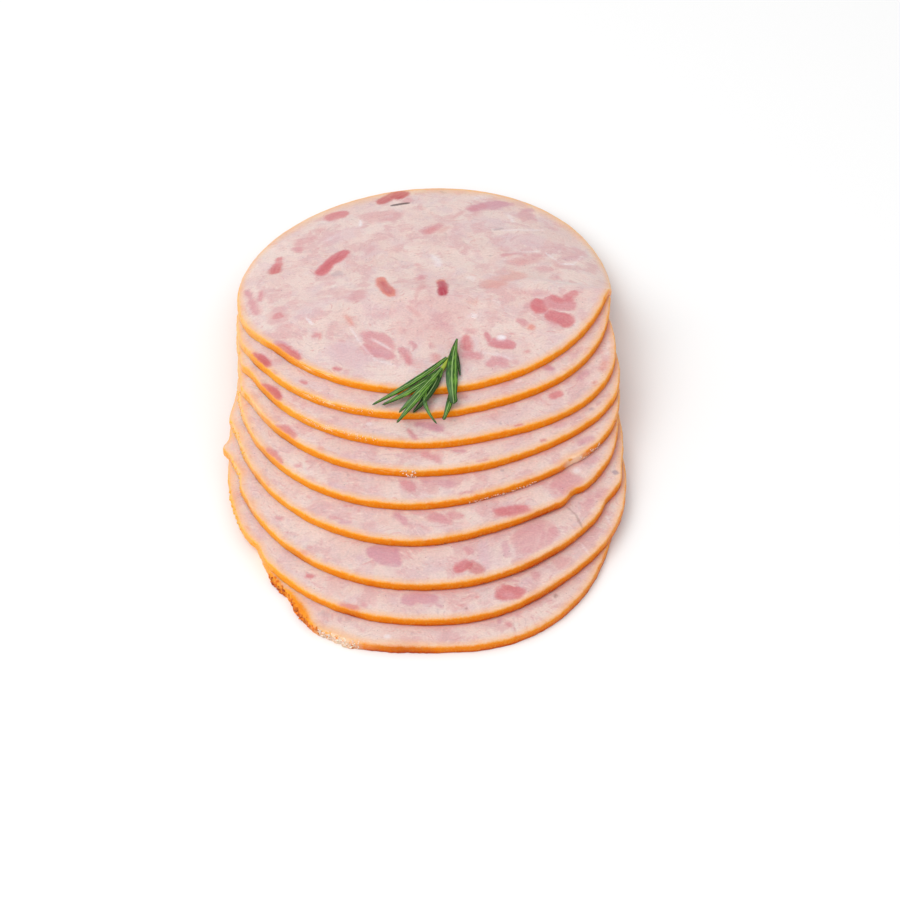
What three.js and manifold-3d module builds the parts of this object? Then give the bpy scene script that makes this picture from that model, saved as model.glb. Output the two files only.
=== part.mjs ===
// Sliced smoked ham: nine round slices of one pressed ham, laid overlapping as a fan,
// with a sprig of rosemary across the front edges of the two top slices.
//
// Units are millimetres and +Z is up. The fan runs along Y: the lowest slice lies at -Y,
// and each further slice lies on those before it, a little further towards +Y.
// The origin is the middle of the footprint, on the surface that the slices lie on.

import * as THREE from 'three';
import { mergeVertices } from 'three/addons/utils/BufferGeometryUtils.js';
import Module from 'manifold-3d';

const wasm = await Module();
wasm.setup();

// Slice and stack
const SLICE_THICKNESS = 3.4;
const SLICE_GAP = 0.35;
const LAYER = SLICE_THICKNESS + SLICE_GAP;

// The ham's cross-section: radii at even angles, joined by a smooth curve
const REACH_COUNT = 16;
const REACH_STEP = (2 * Math.PI) / REACH_COUNT;
const OUTLINE_POINTS = 72;

// Radii of the far half, the same on every slice, from 22.5 to 157.5 degrees
const FAR_REACH = [76.2, 77.9, 76.4, 74.2, 73.8, 75.0, 77.6];

// Drape: past the edge of a slice below, the slices above keep their height for a
// short shelf and then come down by one layer over the drop's run
const SHELF = 9.0;
const DROP_RUN = 11.0;
const DROP_EASE = 24.0;

// Grid on which every slice's height is worked out, the same for all of them, so that
// facing sides of two slices have the same facets
const COLUMN = 13.6;
const ROW = 7.6;
const GRID_HALF_WIDTH = 7 * COLUMN;

// Colours
const MEAT_COLOUR = 0xe6ccc4;
const SPRIG_COLOUR = 0x3f7a33;

// Slices from the top one to the lowest. x and y place the centre of each, near holds the
// radii of its near half from its left side (180 degrees) round the front to its right side
// (0 degrees), and nicks are small tears and frayed places of the rind: the angle in degrees,
// how deep the rim is cut in (or stands out, if less than 0), and half the width in degrees.
const SLICES = [
  {
    node: 'slice_1', x: -0.8, y: 51.2,
    near: [75.6, 75.0, 78.6, 75.0, 75.1, 73.6, 75.7, 71.9, 74.4],
    nicks: [[217, -1.2, 4]],
  },
  {
    node: 'slice_2', x: 1.2, y: 42.3,
    near: [75.9, 78.7, 82.3, 76.7, 75.2, 71.9, 75.4, 73.4, 72.2],
    nicks: [[214, -1.0, 4]],
  },
  {
    node: 'slice_3', x: -0.8, y: 30.1,
    near: [74.0, 75.9, 78.2, 75.1, 75.2, 73.1, 79.6, 82.2, 73.6],
    nicks: [[203, -1.4, 4]],
  },
  {
    node: 'slice_4', x: -0.5, y: 19.0,
    near: [72.9, 76.3, 77.4, 76.4, 75.2, 72.8, 77.6, 82.9, 74.3],
    nicks: [[203, -1.3, 4]],
  },
  {
    node: 'slice_5', x: 0.8, y: 6.3,
    near: [73.5, 77.5, 79.0, 78.3, 75.2, 71.9, 74.5, 80.2, 73.7],
    nicks: [[190, -3.4, 4], [322, 1.2, 3.5]],
  },
  {
    node: 'slice_6', x: 1.7, y: -8.9,
    near: [75.7, 77.6, 77.7, 77.9, 75.2, 70.4, 74.0, 77.0, 72.9],
    nicks: [[186, -1.4, 4], [318, 1.3, 3.5]],
  },
  {
    node: 'slice_7', x: 0.4, y: -27.2,
    near: [75.7, 74.7, 76.4, 76.1, 75.2, 74.9, 75.1, 76.9, 75.2],
    nicks: [[195, 1.6, 3.5]],
  },
  {
    node: 'slice_8', x: -0.1, y: -40.7,
    near: [74.7, 74.8, 75.3, 75.9, 75.2, 76.0, 75.8, 78.3, 76.6],
    nicks: [[212, 1.5, 4]],
  },
  {
    node: 'slice_9', x: -0.4, y: -48.9,
    near: [70.5, 66.8, 73.0, 80.4, 75.2, 80.6, 78.7, 73.5, 72.9],
    nicks: [[226, 1.6, 4], [240, -1.2, 4], [249, 1.4, 4]],
  },
];

// Rosemary: the woody stem and its leaves. Each leaf follows a curve through its points,
// from its base on the stem to its tip.
const STEM = {
  points: [[9.4, -7.7, 35.0], [7.2, -12.2, 35.0], [5.1, -16.2, 34.9]],
  diameter: 2.4,
};
const LEAF_THICKNESS = 1.0;
const LEAVES = [
  { points: [[11.8, 1.2, 35.8], [9.8, -17.0, 35.6], [10.6, -30.8, 32.7]], width: 4.6, base: 0.3 },
  { points: [[10.3, -21.8, 34.4], [8.6, -30.5, 31.5], [6.6, -37.0, 30.4]], width: 2.3, base: 0.5 },
  { points: [[11.3, -3.8, 35.4], [12.3, -11.2, 34.8], [13.0, -17.1, 34.2]], width: 1.4, base: 0.5 },
  { points: [[7.8, -9.0, 35.7], [-4.9, -22.5, 35.0], [-20.4, -30.2, 31.5]], width: 2.7, base: 0.5 },
  { points: [[5.6, -14.2, 35.1], [-5.3, -24.9, 34.3], [-16.6, -30.0, 31.3]], width: 2.8, base: 0.5 },
  { points: [[5.7, -14.9, 35.8], [-1.6, -26.2, 35.3], [-8.6, -34.5, 32.1]], width: 2.8, base: 0.5 },
  { points: [[5.2, -15.7, 35.7], [-2.6, -29.7, 34.8], [-11.0, -39.7, 31.5]], width: 3.0, base: 0.5 },
  { points: [[5.3, -15.6, 34.6], [0.4, -25.9, 34.1], [-5.7, -32.5, 30.8]], width: 3.0, base: 0.5 },
  { points: [[4.7, -16.5, 35.0], [-0.5, -29.9, 33.2], [4.2, -37.3, 28.5]], width: 1.6, base: 0.5 },
  { points: [[6.1, -15.3, 35.2], [4.9, -19.0, 34.8], [3.8, -22.4, 34.4]], width: 1.5, base: 0.6 },
];
const LEAF_STEPS = 8;
const LEAF_TIP = 0.22;
const LEAF_SHOULDER = 0.54;
const LEAF_SWELL_START = 0.12;
const LEAF_SWELL_POWER = 0.6;
const LEAF_EDGE_THINNING = 0.5;
const STEM_SIDES = 8;
const STEM_STEPS = 5;

// Closed solids

function toSolid(geometry) {
  const bare = geometry.clone();
  bare.deleteAttribute('normal');
  bare.deleteAttribute('uv');
  const merged = mergeVertices(bare, 1e-4);
  return new wasm.Manifold(new wasm.Mesh({
    numProp: 3,
    vertProperties: new Float32Array(merged.attributes.position.array),
    triVerts: new Uint32Array(merged.index.array),
  }));
}

function fromSolid(solid) {
  const { vertProperties, triVerts } = solid.getMesh();
  const geometry = new THREE.BufferGeometry();
  geometry.setAttribute('position', new THREE.Float32BufferAttribute(vertProperties, 3));
  geometry.setIndex(Array.from(triVerts));
  geometry.computeVertexNormals();
  return geometry;
}

// Outline of a slice

function reachesOf(slice) {
  const last = slice.near.length - 1;
  return [slice.near[last], ...FAR_REACH, ...slice.near.slice(0, last)];
}

// Uniform cubic spline weight of a radius that lies t steps away
function splineWeight(t) {
  const a = Math.abs(t);
  if (a < 1) {
    return (4 - 6 * a * a + 3 * a * a * a) / 6;
  }
  return a < 2 ? (2 - a) ** 3 / 6 : 0;
}

function stepsApart(angle, index) {
  const half = REACH_COUNT / 2;
  const steps = angle / REACH_STEP - index + half;
  return THREE.MathUtils.euclideanModulo(steps, REACH_COUNT) - half;
}

function plainReach(slice, angle) {
  return reachesOf(slice).reduce(
    (sum, reach, index) => sum + reach * splineWeight(stepsApart(angle, index)),
    0,
  );
}

function nickedReach(slice, angle) {
  const degrees = THREE.MathUtils.euclideanModulo(THREE.MathUtils.radToDeg(angle), 360);
  return slice.nicks.reduce(
    (reach, [at, depth, halfWidth]) => reach - depth * Math.exp(-(((degrees - at) / halfWidth) ** 2)),
    plainReach(slice, angle),
  );
}

// Height of a slice's underside

function coverage(slice, x, y) {
  const dx = x - slice.x;
  const dy = y - slice.y;
  const beyond = Math.hypot(dx, dy) - plainReach(slice, Math.atan2(dy, dx));
  const behind = THREE.MathUtils.clamp(dy / DROP_EASE, 0, 1);
  const fallen = THREE.MathUtils.smoothstep(beyond * behind, SHELF, SHELF + DROP_RUN);
  return 1 - fallen;
}

function undersideHeight(index, x, y) {
  const below = SLICES.slice(index + 1);
  return below.reduce((height, slice) => height + LAYER * coverage(slice, x, y), 0);
}

// A slab that drapes over the slices below, as one closed sheet on the shared grid
function drapedSlab(index) {
  const slice = SLICES[index];
  const reach = Math.max(...reachesOf(slice)) + ROW;
  const firstRow = Math.floor((slice.y - reach) / ROW);
  const lastRow = Math.ceil((slice.y + reach) / ROW);
  const columns = Math.round((2 * GRID_HALF_WIDTH) / COLUMN);
  const rows = lastRow - firstRow;
  const positions = [];
  const triangles = [];
  const across = columns + 1;
  const perSide = across * (rows + 1);
  for (const lift of [0, SLICE_THICKNESS]) {
    for (let j = 0; j <= rows; j += 1) {
      for (let i = 0; i <= columns; i += 1) {
        const x = -GRID_HALF_WIDTH + i * COLUMN;
        const y = (firstRow + j) * ROW;
        positions.push(x, y, undersideHeight(index, x, y) + lift);
      }
    }
  }
  const vertex = (i, j, side) => side * perSide + j * across + i;
  const quad = (a, b, c, d) => triangles.push(a, b, c, a, c, d);
  for (let j = 0; j < rows; j += 1) {
    for (let i = 0; i < columns; i += 1) {
      triangles.push(vertex(i, j, 0), vertex(i + 1, j + 1, 0), vertex(i + 1, j, 0));
      triangles.push(vertex(i, j, 0), vertex(i, j + 1, 0), vertex(i + 1, j + 1, 0));
      triangles.push(vertex(i, j, 1), vertex(i + 1, j, 1), vertex(i + 1, j + 1, 1));
      triangles.push(vertex(i, j, 1), vertex(i + 1, j + 1, 1), vertex(i, j + 1, 1));
    }
  }
  for (let i = 0; i < columns; i += 1) {
    quad(vertex(i, 0, 0), vertex(i + 1, 0, 0), vertex(i + 1, 0, 1), vertex(i, 0, 1));
    quad(vertex(i + 1, rows, 0), vertex(i, rows, 0), vertex(i, rows, 1), vertex(i + 1, rows, 1));
  }
  for (let j = 0; j < rows; j += 1) {
    quad(vertex(columns, j, 0), vertex(columns, j + 1, 0), vertex(columns, j + 1, 1), vertex(columns, j, 1));
    quad(vertex(0, j + 1, 0), vertex(0, j, 0), vertex(0, j, 1), vertex(0, j + 1, 1));
  }
  const geometry = new THREE.BufferGeometry();
  geometry.setAttribute('position', new THREE.Float32BufferAttribute(positions, 3));
  geometry.setIndex(triangles);
  return toSolid(geometry);
}

// The straight-sided cut of a slice's outline, tall enough for the whole stack
function outlineCut(slice) {
  const points = Array.from({ length: OUTLINE_POINTS }, (_, i) => {
    const angle = (2 * Math.PI * (i + 0.5)) / OUTLINE_POINTS;
    const reach = nickedReach(slice, angle);
    return new THREE.Vector2(slice.x + reach * Math.cos(angle), slice.y + reach * Math.sin(angle));
  });
  const depth = LAYER * (SLICES.length + 2);
  const geometry = new THREE.ExtrudeGeometry(new THREE.Shape(points), { depth, bevelEnabled: false });
  geometry.translate(0, 0, -LAYER);
  return toSolid(geometry);
}

function sliceMesh(slice, index, material) {
  const geometry = fromSolid(drapedSlab(index).intersect(outlineCut(slice)));
  const mesh = new THREE.Mesh(geometry, material);
  mesh.name = slice.node;
  return mesh;
}

// Rosemary

function curveThrough(points) {
  return new THREE.CatmullRomCurve3(points.map((p) => new THREE.Vector3(...p)), false, 'centripetal');
}

// A closed skin over rings that are carried along a curve. section(s) gives the ring's
// points at the share s of the length, as [sideways, upwards].
function loft(points, steps, section) {
  const curve = curveThrough(points);
  const up = new THREE.Vector3(0, 0, 1);
  const positions = [];
  const triangles = [];
  let count = 0;
  for (let j = 0; j <= steps; j += 1) {
    const s = j / steps;
    const centre = curve.getPointAt(s);
    const along = curve.getTangentAt(s);
    const side = new THREE.Vector3().crossVectors(along, up).normalize();
    const rise = new THREE.Vector3().crossVectors(side, along).normalize();
    const ring = section(s);
    count = ring.length;
    ring.forEach(([sideways, upwards]) => {
      const p = centre.clone().addScaledVector(side, sideways).addScaledVector(rise, upwards);
      positions.push(p.x, p.y, p.z);
    });
  }
  for (let j = 0; j < steps; j += 1) {
    for (let i = 0; i < count; i += 1) {
      const a = j * count + i;
      const b = j * count + ((i + 1) % count);
      triangles.push(a, b + count, b, a, a + count, b + count);
    }
  }
  const lastRing = steps * count;
  for (let i = 1; i < count - 1; i += 1) {
    triangles.push(0, i, i + 1);
    triangles.push(lastRing, lastRing + i + 1, lastRing + i);
  }
  const geometry = new THREE.BufferGeometry();
  geometry.setAttribute('position', new THREE.Float32BufferAttribute(positions, 3));
  geometry.setIndex(triangles);
  return toSolid(geometry);
}

// A leaf's section: a thin lens, the same above and below, that swells along the leaf's
// length as a flattened sine and never gets narrower than a straight taper to the tip
function leafSection(leaf) {
  return (s) => {
    const phase = THREE.MathUtils.lerp(LEAF_SWELL_START, 1, s);
    const swell = Math.sin(Math.PI * phase) ** LEAF_SWELL_POWER;
    const taper = THREE.MathUtils.lerp(leaf.base, LEAF_TIP, s);
    const half = (leaf.width / 2) * Math.max(taper, swell);
    const fullness = Math.min(1, LEAF_EDGE_THINNING + half / leaf.width);
    const thick = (LEAF_THICKNESS / 2) * fullness;
    const shoulder = half * LEAF_SHOULDER;
    return [
      [half, 0],
      [shoulder, thick],
      [-shoulder, thick],
      [-half, 0],
      [-shoulder, -thick],
      [shoulder, -thick],
    ];
  };
}

function stemSection() {
  const radius = STEM.diameter / 2;
  return Array.from({ length: STEM_SIDES }, (_, i) => {
    const angle = (2 * Math.PI * i) / STEM_SIDES;
    return [radius * Math.cos(angle), radius * Math.sin(angle)];
  });
}

function sprigMesh(material) {
  const stem = loft(STEM.points, STEM_STEPS, stemSection);
  const solid = LEAVES.reduce(
    (sum, leaf) => sum.add(loft(leaf.points, LEAF_STEPS, leafSection(leaf))),
    stem,
  );
  const mesh = new THREE.Mesh(fromSolid(solid), material);
  mesh.name = 'rosemary_sprig';
  return mesh;
}

// The whole stack

const meat = new THREE.MeshStandardMaterial({ color: MEAT_COLOUR, roughness: 0.45, metalness: 0 });
const leafGreen = new THREE.MeshStandardMaterial({ color: SPRIG_COLOUR, roughness: 0.6, metalness: 0 });

const ham = new THREE.Group();
SLICES.forEach((slice, index) => ham.add(sliceMesh(slice, index, meat)));
ham.add(sprigMesh(leafGreen));

export default ham;
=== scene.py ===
"""Sliced smoked ham: nine round slices lying as a fan, with a small sprig of rosemary.

Every slice is a surface worked out on a grid: a disc with an uneven outline that lies on the
slices below and comes down where they end. The meat's chunks are kept as attributes of the
mesh, and the finishes read those attributes. The chunks were read off the photo by eye and
turned into millimetres by other scripts, which also fitted the slices' outlines; some values
were changed by hand later. Lengths are millimetres up to the point where a mesh is made.
"""

import logging
import math
from dataclasses import dataclass, field
from enum import Enum
from typing import Sequence

import bpy
import numpy as np
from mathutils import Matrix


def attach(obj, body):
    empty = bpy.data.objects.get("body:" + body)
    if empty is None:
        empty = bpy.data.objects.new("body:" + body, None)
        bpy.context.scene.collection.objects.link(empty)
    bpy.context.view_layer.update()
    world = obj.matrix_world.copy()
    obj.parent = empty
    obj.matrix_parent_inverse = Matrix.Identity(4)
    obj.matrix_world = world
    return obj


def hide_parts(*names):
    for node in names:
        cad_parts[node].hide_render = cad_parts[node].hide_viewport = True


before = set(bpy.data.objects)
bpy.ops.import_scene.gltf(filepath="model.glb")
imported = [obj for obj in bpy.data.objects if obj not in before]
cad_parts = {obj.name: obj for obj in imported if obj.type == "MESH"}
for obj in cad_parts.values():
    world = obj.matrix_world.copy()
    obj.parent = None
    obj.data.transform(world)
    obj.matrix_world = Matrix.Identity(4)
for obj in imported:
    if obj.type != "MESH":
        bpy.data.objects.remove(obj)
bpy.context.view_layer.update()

LOG = logging.getLogger("ham")
MM = 0.001
BODY = "root"

Colour = tuple[float, float, float]
Array = np.ndarray


def linear(red: float, green: float, blue: float) -> Colour:
    """Turns a colour as a screen shows it into light values.

    Args:
        red: Red from 0 to 255.
        green: Green from 0 to 255.
        blue: Blue from 0 to 255.

    Returns:
        The three channels from 0 to 1, each ((c + 0.055) / 1.055) to the power 2.4, or c / 12.92
        where c is small.
    """
    channels = []
    for value in (red, green, blue):
        c = value / 255.0
        channels.append(c / 12.92 if c <= 0.04045 else ((c + 0.055) / 1.055) ** 2.4)
    return (channels[0], channels[1], channels[2])


def ease(t: Array) -> Array:
    """Gives 0 below 0, 1 above 1 and 3t² − 2t³ between."""
    t = np.clip(t, 0.0, 1.0)
    return t * t * (3.0 - 2.0 * t)


class Noise:
    """Smooth noise on a lattice of seeded random values, between −1 and 1."""

    def __init__(self, seed: int) -> None:
        """Draws the lattice.

        Args:
            seed: Seed of the random draw.
        """
        self.size = 64
        rng = np.random.default_rng(seed)
        self.lattice = rng.uniform(-1.0, 1.0, (self.size,) * 3)

    def at(self, x: Array, y: Array, z: Array | float, wave: float) -> Array:
        """Reads the noise at points.

        The value is the blend of the eight lattice values round the point, each weighted by the
        eased distance along its axis.

        Args:
            x: Places along x in mm.
            y: Places along y in mm.
            z: Places along z in mm.
            wave: Lattice spacing in mm.

        Returns:
            One value for each point.
        """
        coords = [np.asarray(c, dtype=float) / wave + 17.3 for c in (x, y, z)]
        coords = list(np.broadcast_arrays(*coords))
        whole = [np.floor(c).astype(int) for c in coords]
        part = [ease(c - w) for c, w in zip(coords, whole)]
        total = np.zeros(coords[0].shape)
        for corner in range(8):
            weight = np.ones_like(total)
            index = []
            for axis in range(3):
                bit = (corner >> axis) & 1
                weight = weight * (part[axis] if bit else 1.0 - part[axis])
                index.append((whole[axis] + bit) % self.size)
            total = total + weight * self.lattice[index[0], index[1], index[2]]
        return total


class Tone(Enum):
    """Colours of the chunks, fat and gelatin in the meat, as a screen shows them."""

    CRIMSON = (186, 52, 76)
    RED = (200, 84, 88)
    ROSE = (212, 112, 120)
    PINK = (216, 146, 152)
    BLUSH = (224, 168, 166)
    CORAL = (224, 140, 126)
    MAUVE = (212, 154, 166)
    LILAC = (220, 184, 192)
    CREAM = (240, 224, 214)
    WHITE = (246, 238, 242)
    BROWN = (146, 100, 92)
    DARK = (96, 66, 60)
    GREY = (186, 160, 166)


@dataclass(frozen=True)
class Chunk:
    """One piece of muscle, fat or gelatin in a slice, placed from the slice's middle, in mm.

    Attributes:
        x: Place across.
        y: Place along the fan.
        long: Length.
        wide: Width.
        turn: Direction of the length, in degrees from +x.
        tone: Colour.
        strength: How much of the colour shows, from 0 to 1.
        soft: Width of the edge, in mm.
        ragged: How uneven the outline is, in parts of the width.
    """

    x: float
    y: float
    long: float
    wide: float
    turn: float
    tone: Tone
    strength: float = 0.8
    soft: float = 1.0
    ragged: float = 0.3


@dataclass(frozen=True)
class Nick:
    """A small place where the outline goes in, or stands out if the depth is below 0.

    Attributes:
        angle: Middle of the place, in degrees.
        depth: Depth in mm.
        half_width: Half width in degrees.
    """

    angle: float
    depth: float
    half_width: float


@dataclass(frozen=True)
class RindPatch:
    """A stretch of a slice's rim with its own look.

    Attributes:
        angle: Middle of the stretch, in degrees.
        half_width: Half width in degrees.
        pale: How far the rind is pale and torn, from 0 to 1.
        dark: How far it is darker red-brown, from 0 to 1; at 305° on slices 6 to 8, painted shade.
        fray: How far the surface stands up and down, in mm.
        painted_shine: How far painted whitish highlight streaks show along it, from 0 to 1.
        gold: How far it is bright golden yellow, from 0 to 1.
        wide: How much farther the rind reaches onto the cut face, in mm.
    """

    angle: float
    half_width: float
    pale: float = 0.0
    dark: float = 0.0
    fray: float = 0.0
    painted_shine: float = 0.0
    gold: float = 0.0
    wide: float = 0.0


@dataclass(frozen=True)
class SliceForm:
    """One slice: its middle, the radii of its near half, and the uneven places of its rim.

    Attributes:
        name: Name of the CAD node it stands for.
        x: Middle across, in mm.
        y: Middle along the fan, in mm.
        near: Radii in mm at 180°, 202.5° and so on up to 360°.
        far: Radii in mm at 22.5°, 45° and so on up to 157.5°.
        nicks: Small places where the outline goes in or out.
        patches: Stretches of the rim with their own look.
        lift: Height in mm by which the right front edge stands off the slice below.
    """

    name: str
    x: float
    y: float
    near: tuple[float, ...]
    far: tuple[float, ...] = (76.2, 77.9, 76.4, 74.2, 73.8, 75.0, 77.6)
    nicks: tuple[Nick, ...] = ()
    patches: tuple[RindPatch, ...] = ()
    lift: float = 0.0


SLICES = (
    SliceForm(
        "slice_1", -0.8, 51.2, (75.7, 76.7, 77.4, 75.9, 74.4, 74.2, 74.9, 74.8, 74.6),
        far=(75.8, 77.5, 76.1, 73.6, 72.6, 73.1, 74.9),
        nicks=(Nick(217, -0.8, 4),),
        patches=(
            RindPatch(196, 13, pale=0.25, gold=0.9, wide=0.4),
            RindPatch(214, 5, gold=0.95, fray=0.3),
            RindPatch(224, 5, dark=0.45, gold=0.2),
            RindPatch(237, 7, painted_shine=1.0),
        ),
    ),
    SliceForm(
        "slice_2", 1.2, 42.3, (76.6, 79.7, 81.7, 77.7, 74.9, 72.4, 75.7, 74.9, 69.6),
        nicks=(Nick(214, -0.8, 4),),
        patches=(
            RindPatch(191, 14, pale=0.35, gold=0.9, fray=0.3, wide=0.4),
            RindPatch(206.5, 3.5, gold=0.9),
            RindPatch(214, 3.5, dark=0.5),
            RindPatch(223, 6, gold=0.9, fray=0.3),
            RindPatch(238, 8, painted_shine=1.0, fray=0.25),
        ),
    ),
    SliceForm(
        "slice_3", -0.8, 30.1, (74.4, 76.1, 77.4, 75.5, 74.8, 74.0, 80.7, 82.7, 68.0),
        far=(77.9, 77.6, 76.5, 74.1, 73.8, 75.0, 77.6),
        nicks=(Nick(203, -1.2, 4),),
        patches=(
            RindPatch(191, 15, pale=0.3, gold=0.9, fray=0.4, wide=0.4),
            RindPatch(217.5, 4, dark=0.6),
            RindPatch(228, 6, gold=0.8),
            RindPatch(239, 7, painted_shine=1.0),
        ),
    ),
    SliceForm(
        "slice_4", -0.5, 19.0, (73.2, 76.4, 77.0, 76.4, 74.3, 74.5, 77.0, 84.3, 69.1),
        nicks=(Nick(203, -1.3, 4),),
        patches=(
            RindPatch(190, 13, pale=0.3, gold=0.9, fray=0.4, wide=0.4),
            RindPatch(203, 3, pale=0.5, gold=0.9),
            RindPatch(212, 6, pale=0.5, gold=0.4),
            RindPatch(226, 5, dark=0.35),
            RindPatch(258, 8, painted_shine=0.5),
        ),
    ),
    SliceForm(
        "slice_5", 0.8, 6.3, (73.5, 77.5, 78.9, 77.8, 75.2, 72.3, 75.7, 80.7, 70.1),
        nicks=(Nick(315, 0.7, 2.5),),
        patches=(
            RindPatch(196, 16, pale=0.45, gold=0.9, fray=0.5, wide=0.4),
            RindPatch(218, 4, dark=0.6),
            RindPatch(317, 3.5, pale=1.0, fray=0.5),
        ),
        lift=0.3,
    ),
    SliceForm(
        "slice_6", 1.7, -8.9, (75.7, 77.6, 77.9, 77.3, 75.1, 71.2, 74.8, 76.6, 70.5),
        nicks=(Nick(188, -2.0, 5), Nick(317, 1.4, 2.5), Nick(312, -0.5, 2.5)),
        patches=(
            RindPatch(196, 14, pale=0.45, gold=0.9, fray=0.5, wide=0.4),
            RindPatch(212, 2.5, dark=0.6),
            # Painted shade at the lifted right front edge.
            RindPatch(305, 9, dark=0.5),
        ),
        lift=0.6,
    ),
    SliceForm(
        "slice_7", 0.4, -27.2, (76.0, 75.2, 75.9, 76.1, 75.2, 75.2, 75.0, 76.7, 74.6),
        nicks=(Nick(184, -2.6, 2.6), Nick(195, 1.6, 3.5), Nick(334, 1.0, 3.5), Nick(343, -1.0, 4)),
        patches=(
            RindPatch(182, 7, gold=0.8, fray=0.3),
            RindPatch(194, 7, pale=0.45, gold=0.9, fray=0.3, wide=0.4),
            RindPatch(203, 3, gold=0.7),
            RindPatch(208, 3, dark=0.8, pale=0.4),
            RindPatch(231, 5, dark=0.4),
            # Painted shade at the lifted right front edge.
            RindPatch(305, 12, dark=0.55),
        ),
        lift=0.7,
    ),
    SliceForm(
        "slice_8", -0.1, -40.7, (75.4, 75.1, 75.1, 76.0, 74.9, 76.8, 74.2, 78.5, 75.7),
        nicks=(Nick(212, 1.5, 4),),
        patches=(
            RindPatch(195, 15, pale=0.2, gold=0.9, fray=0.4, wide=0.4),
            RindPatch(249, 5, dark=0.45),
            # Painted shade at the lifted right front edge.
            RindPatch(305, 12, dark=0.5),
        ),
        lift=0.4,
    ),
    SliceForm(
        "slice_9", -0.4, -48.9, (70.5, 66.8, 73.0, 80.4, 75.2, 80.6, 78.7, 73.5, 72.9),
        nicks=(Nick(226, 1.6, 4), Nick(240, -1.2, 4), Nick(249, -0.9, 4)),
        patches=(
            RindPatch(205, 11, gold=0.9, fray=0.4, wide=1.0),
            RindPatch(220, 4.5, dark=0.6, fray=1.2, wide=1.0),
            RindPatch(232, 7, dark=0.35, fray=1.3, wide=2.6),
            RindPatch(246.5, 6, pale=1.0, fray=1.3, wide=0.8),
            RindPatch(264, 11, dark=0.8, fray=0.3),
        ),
    ),
)

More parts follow.
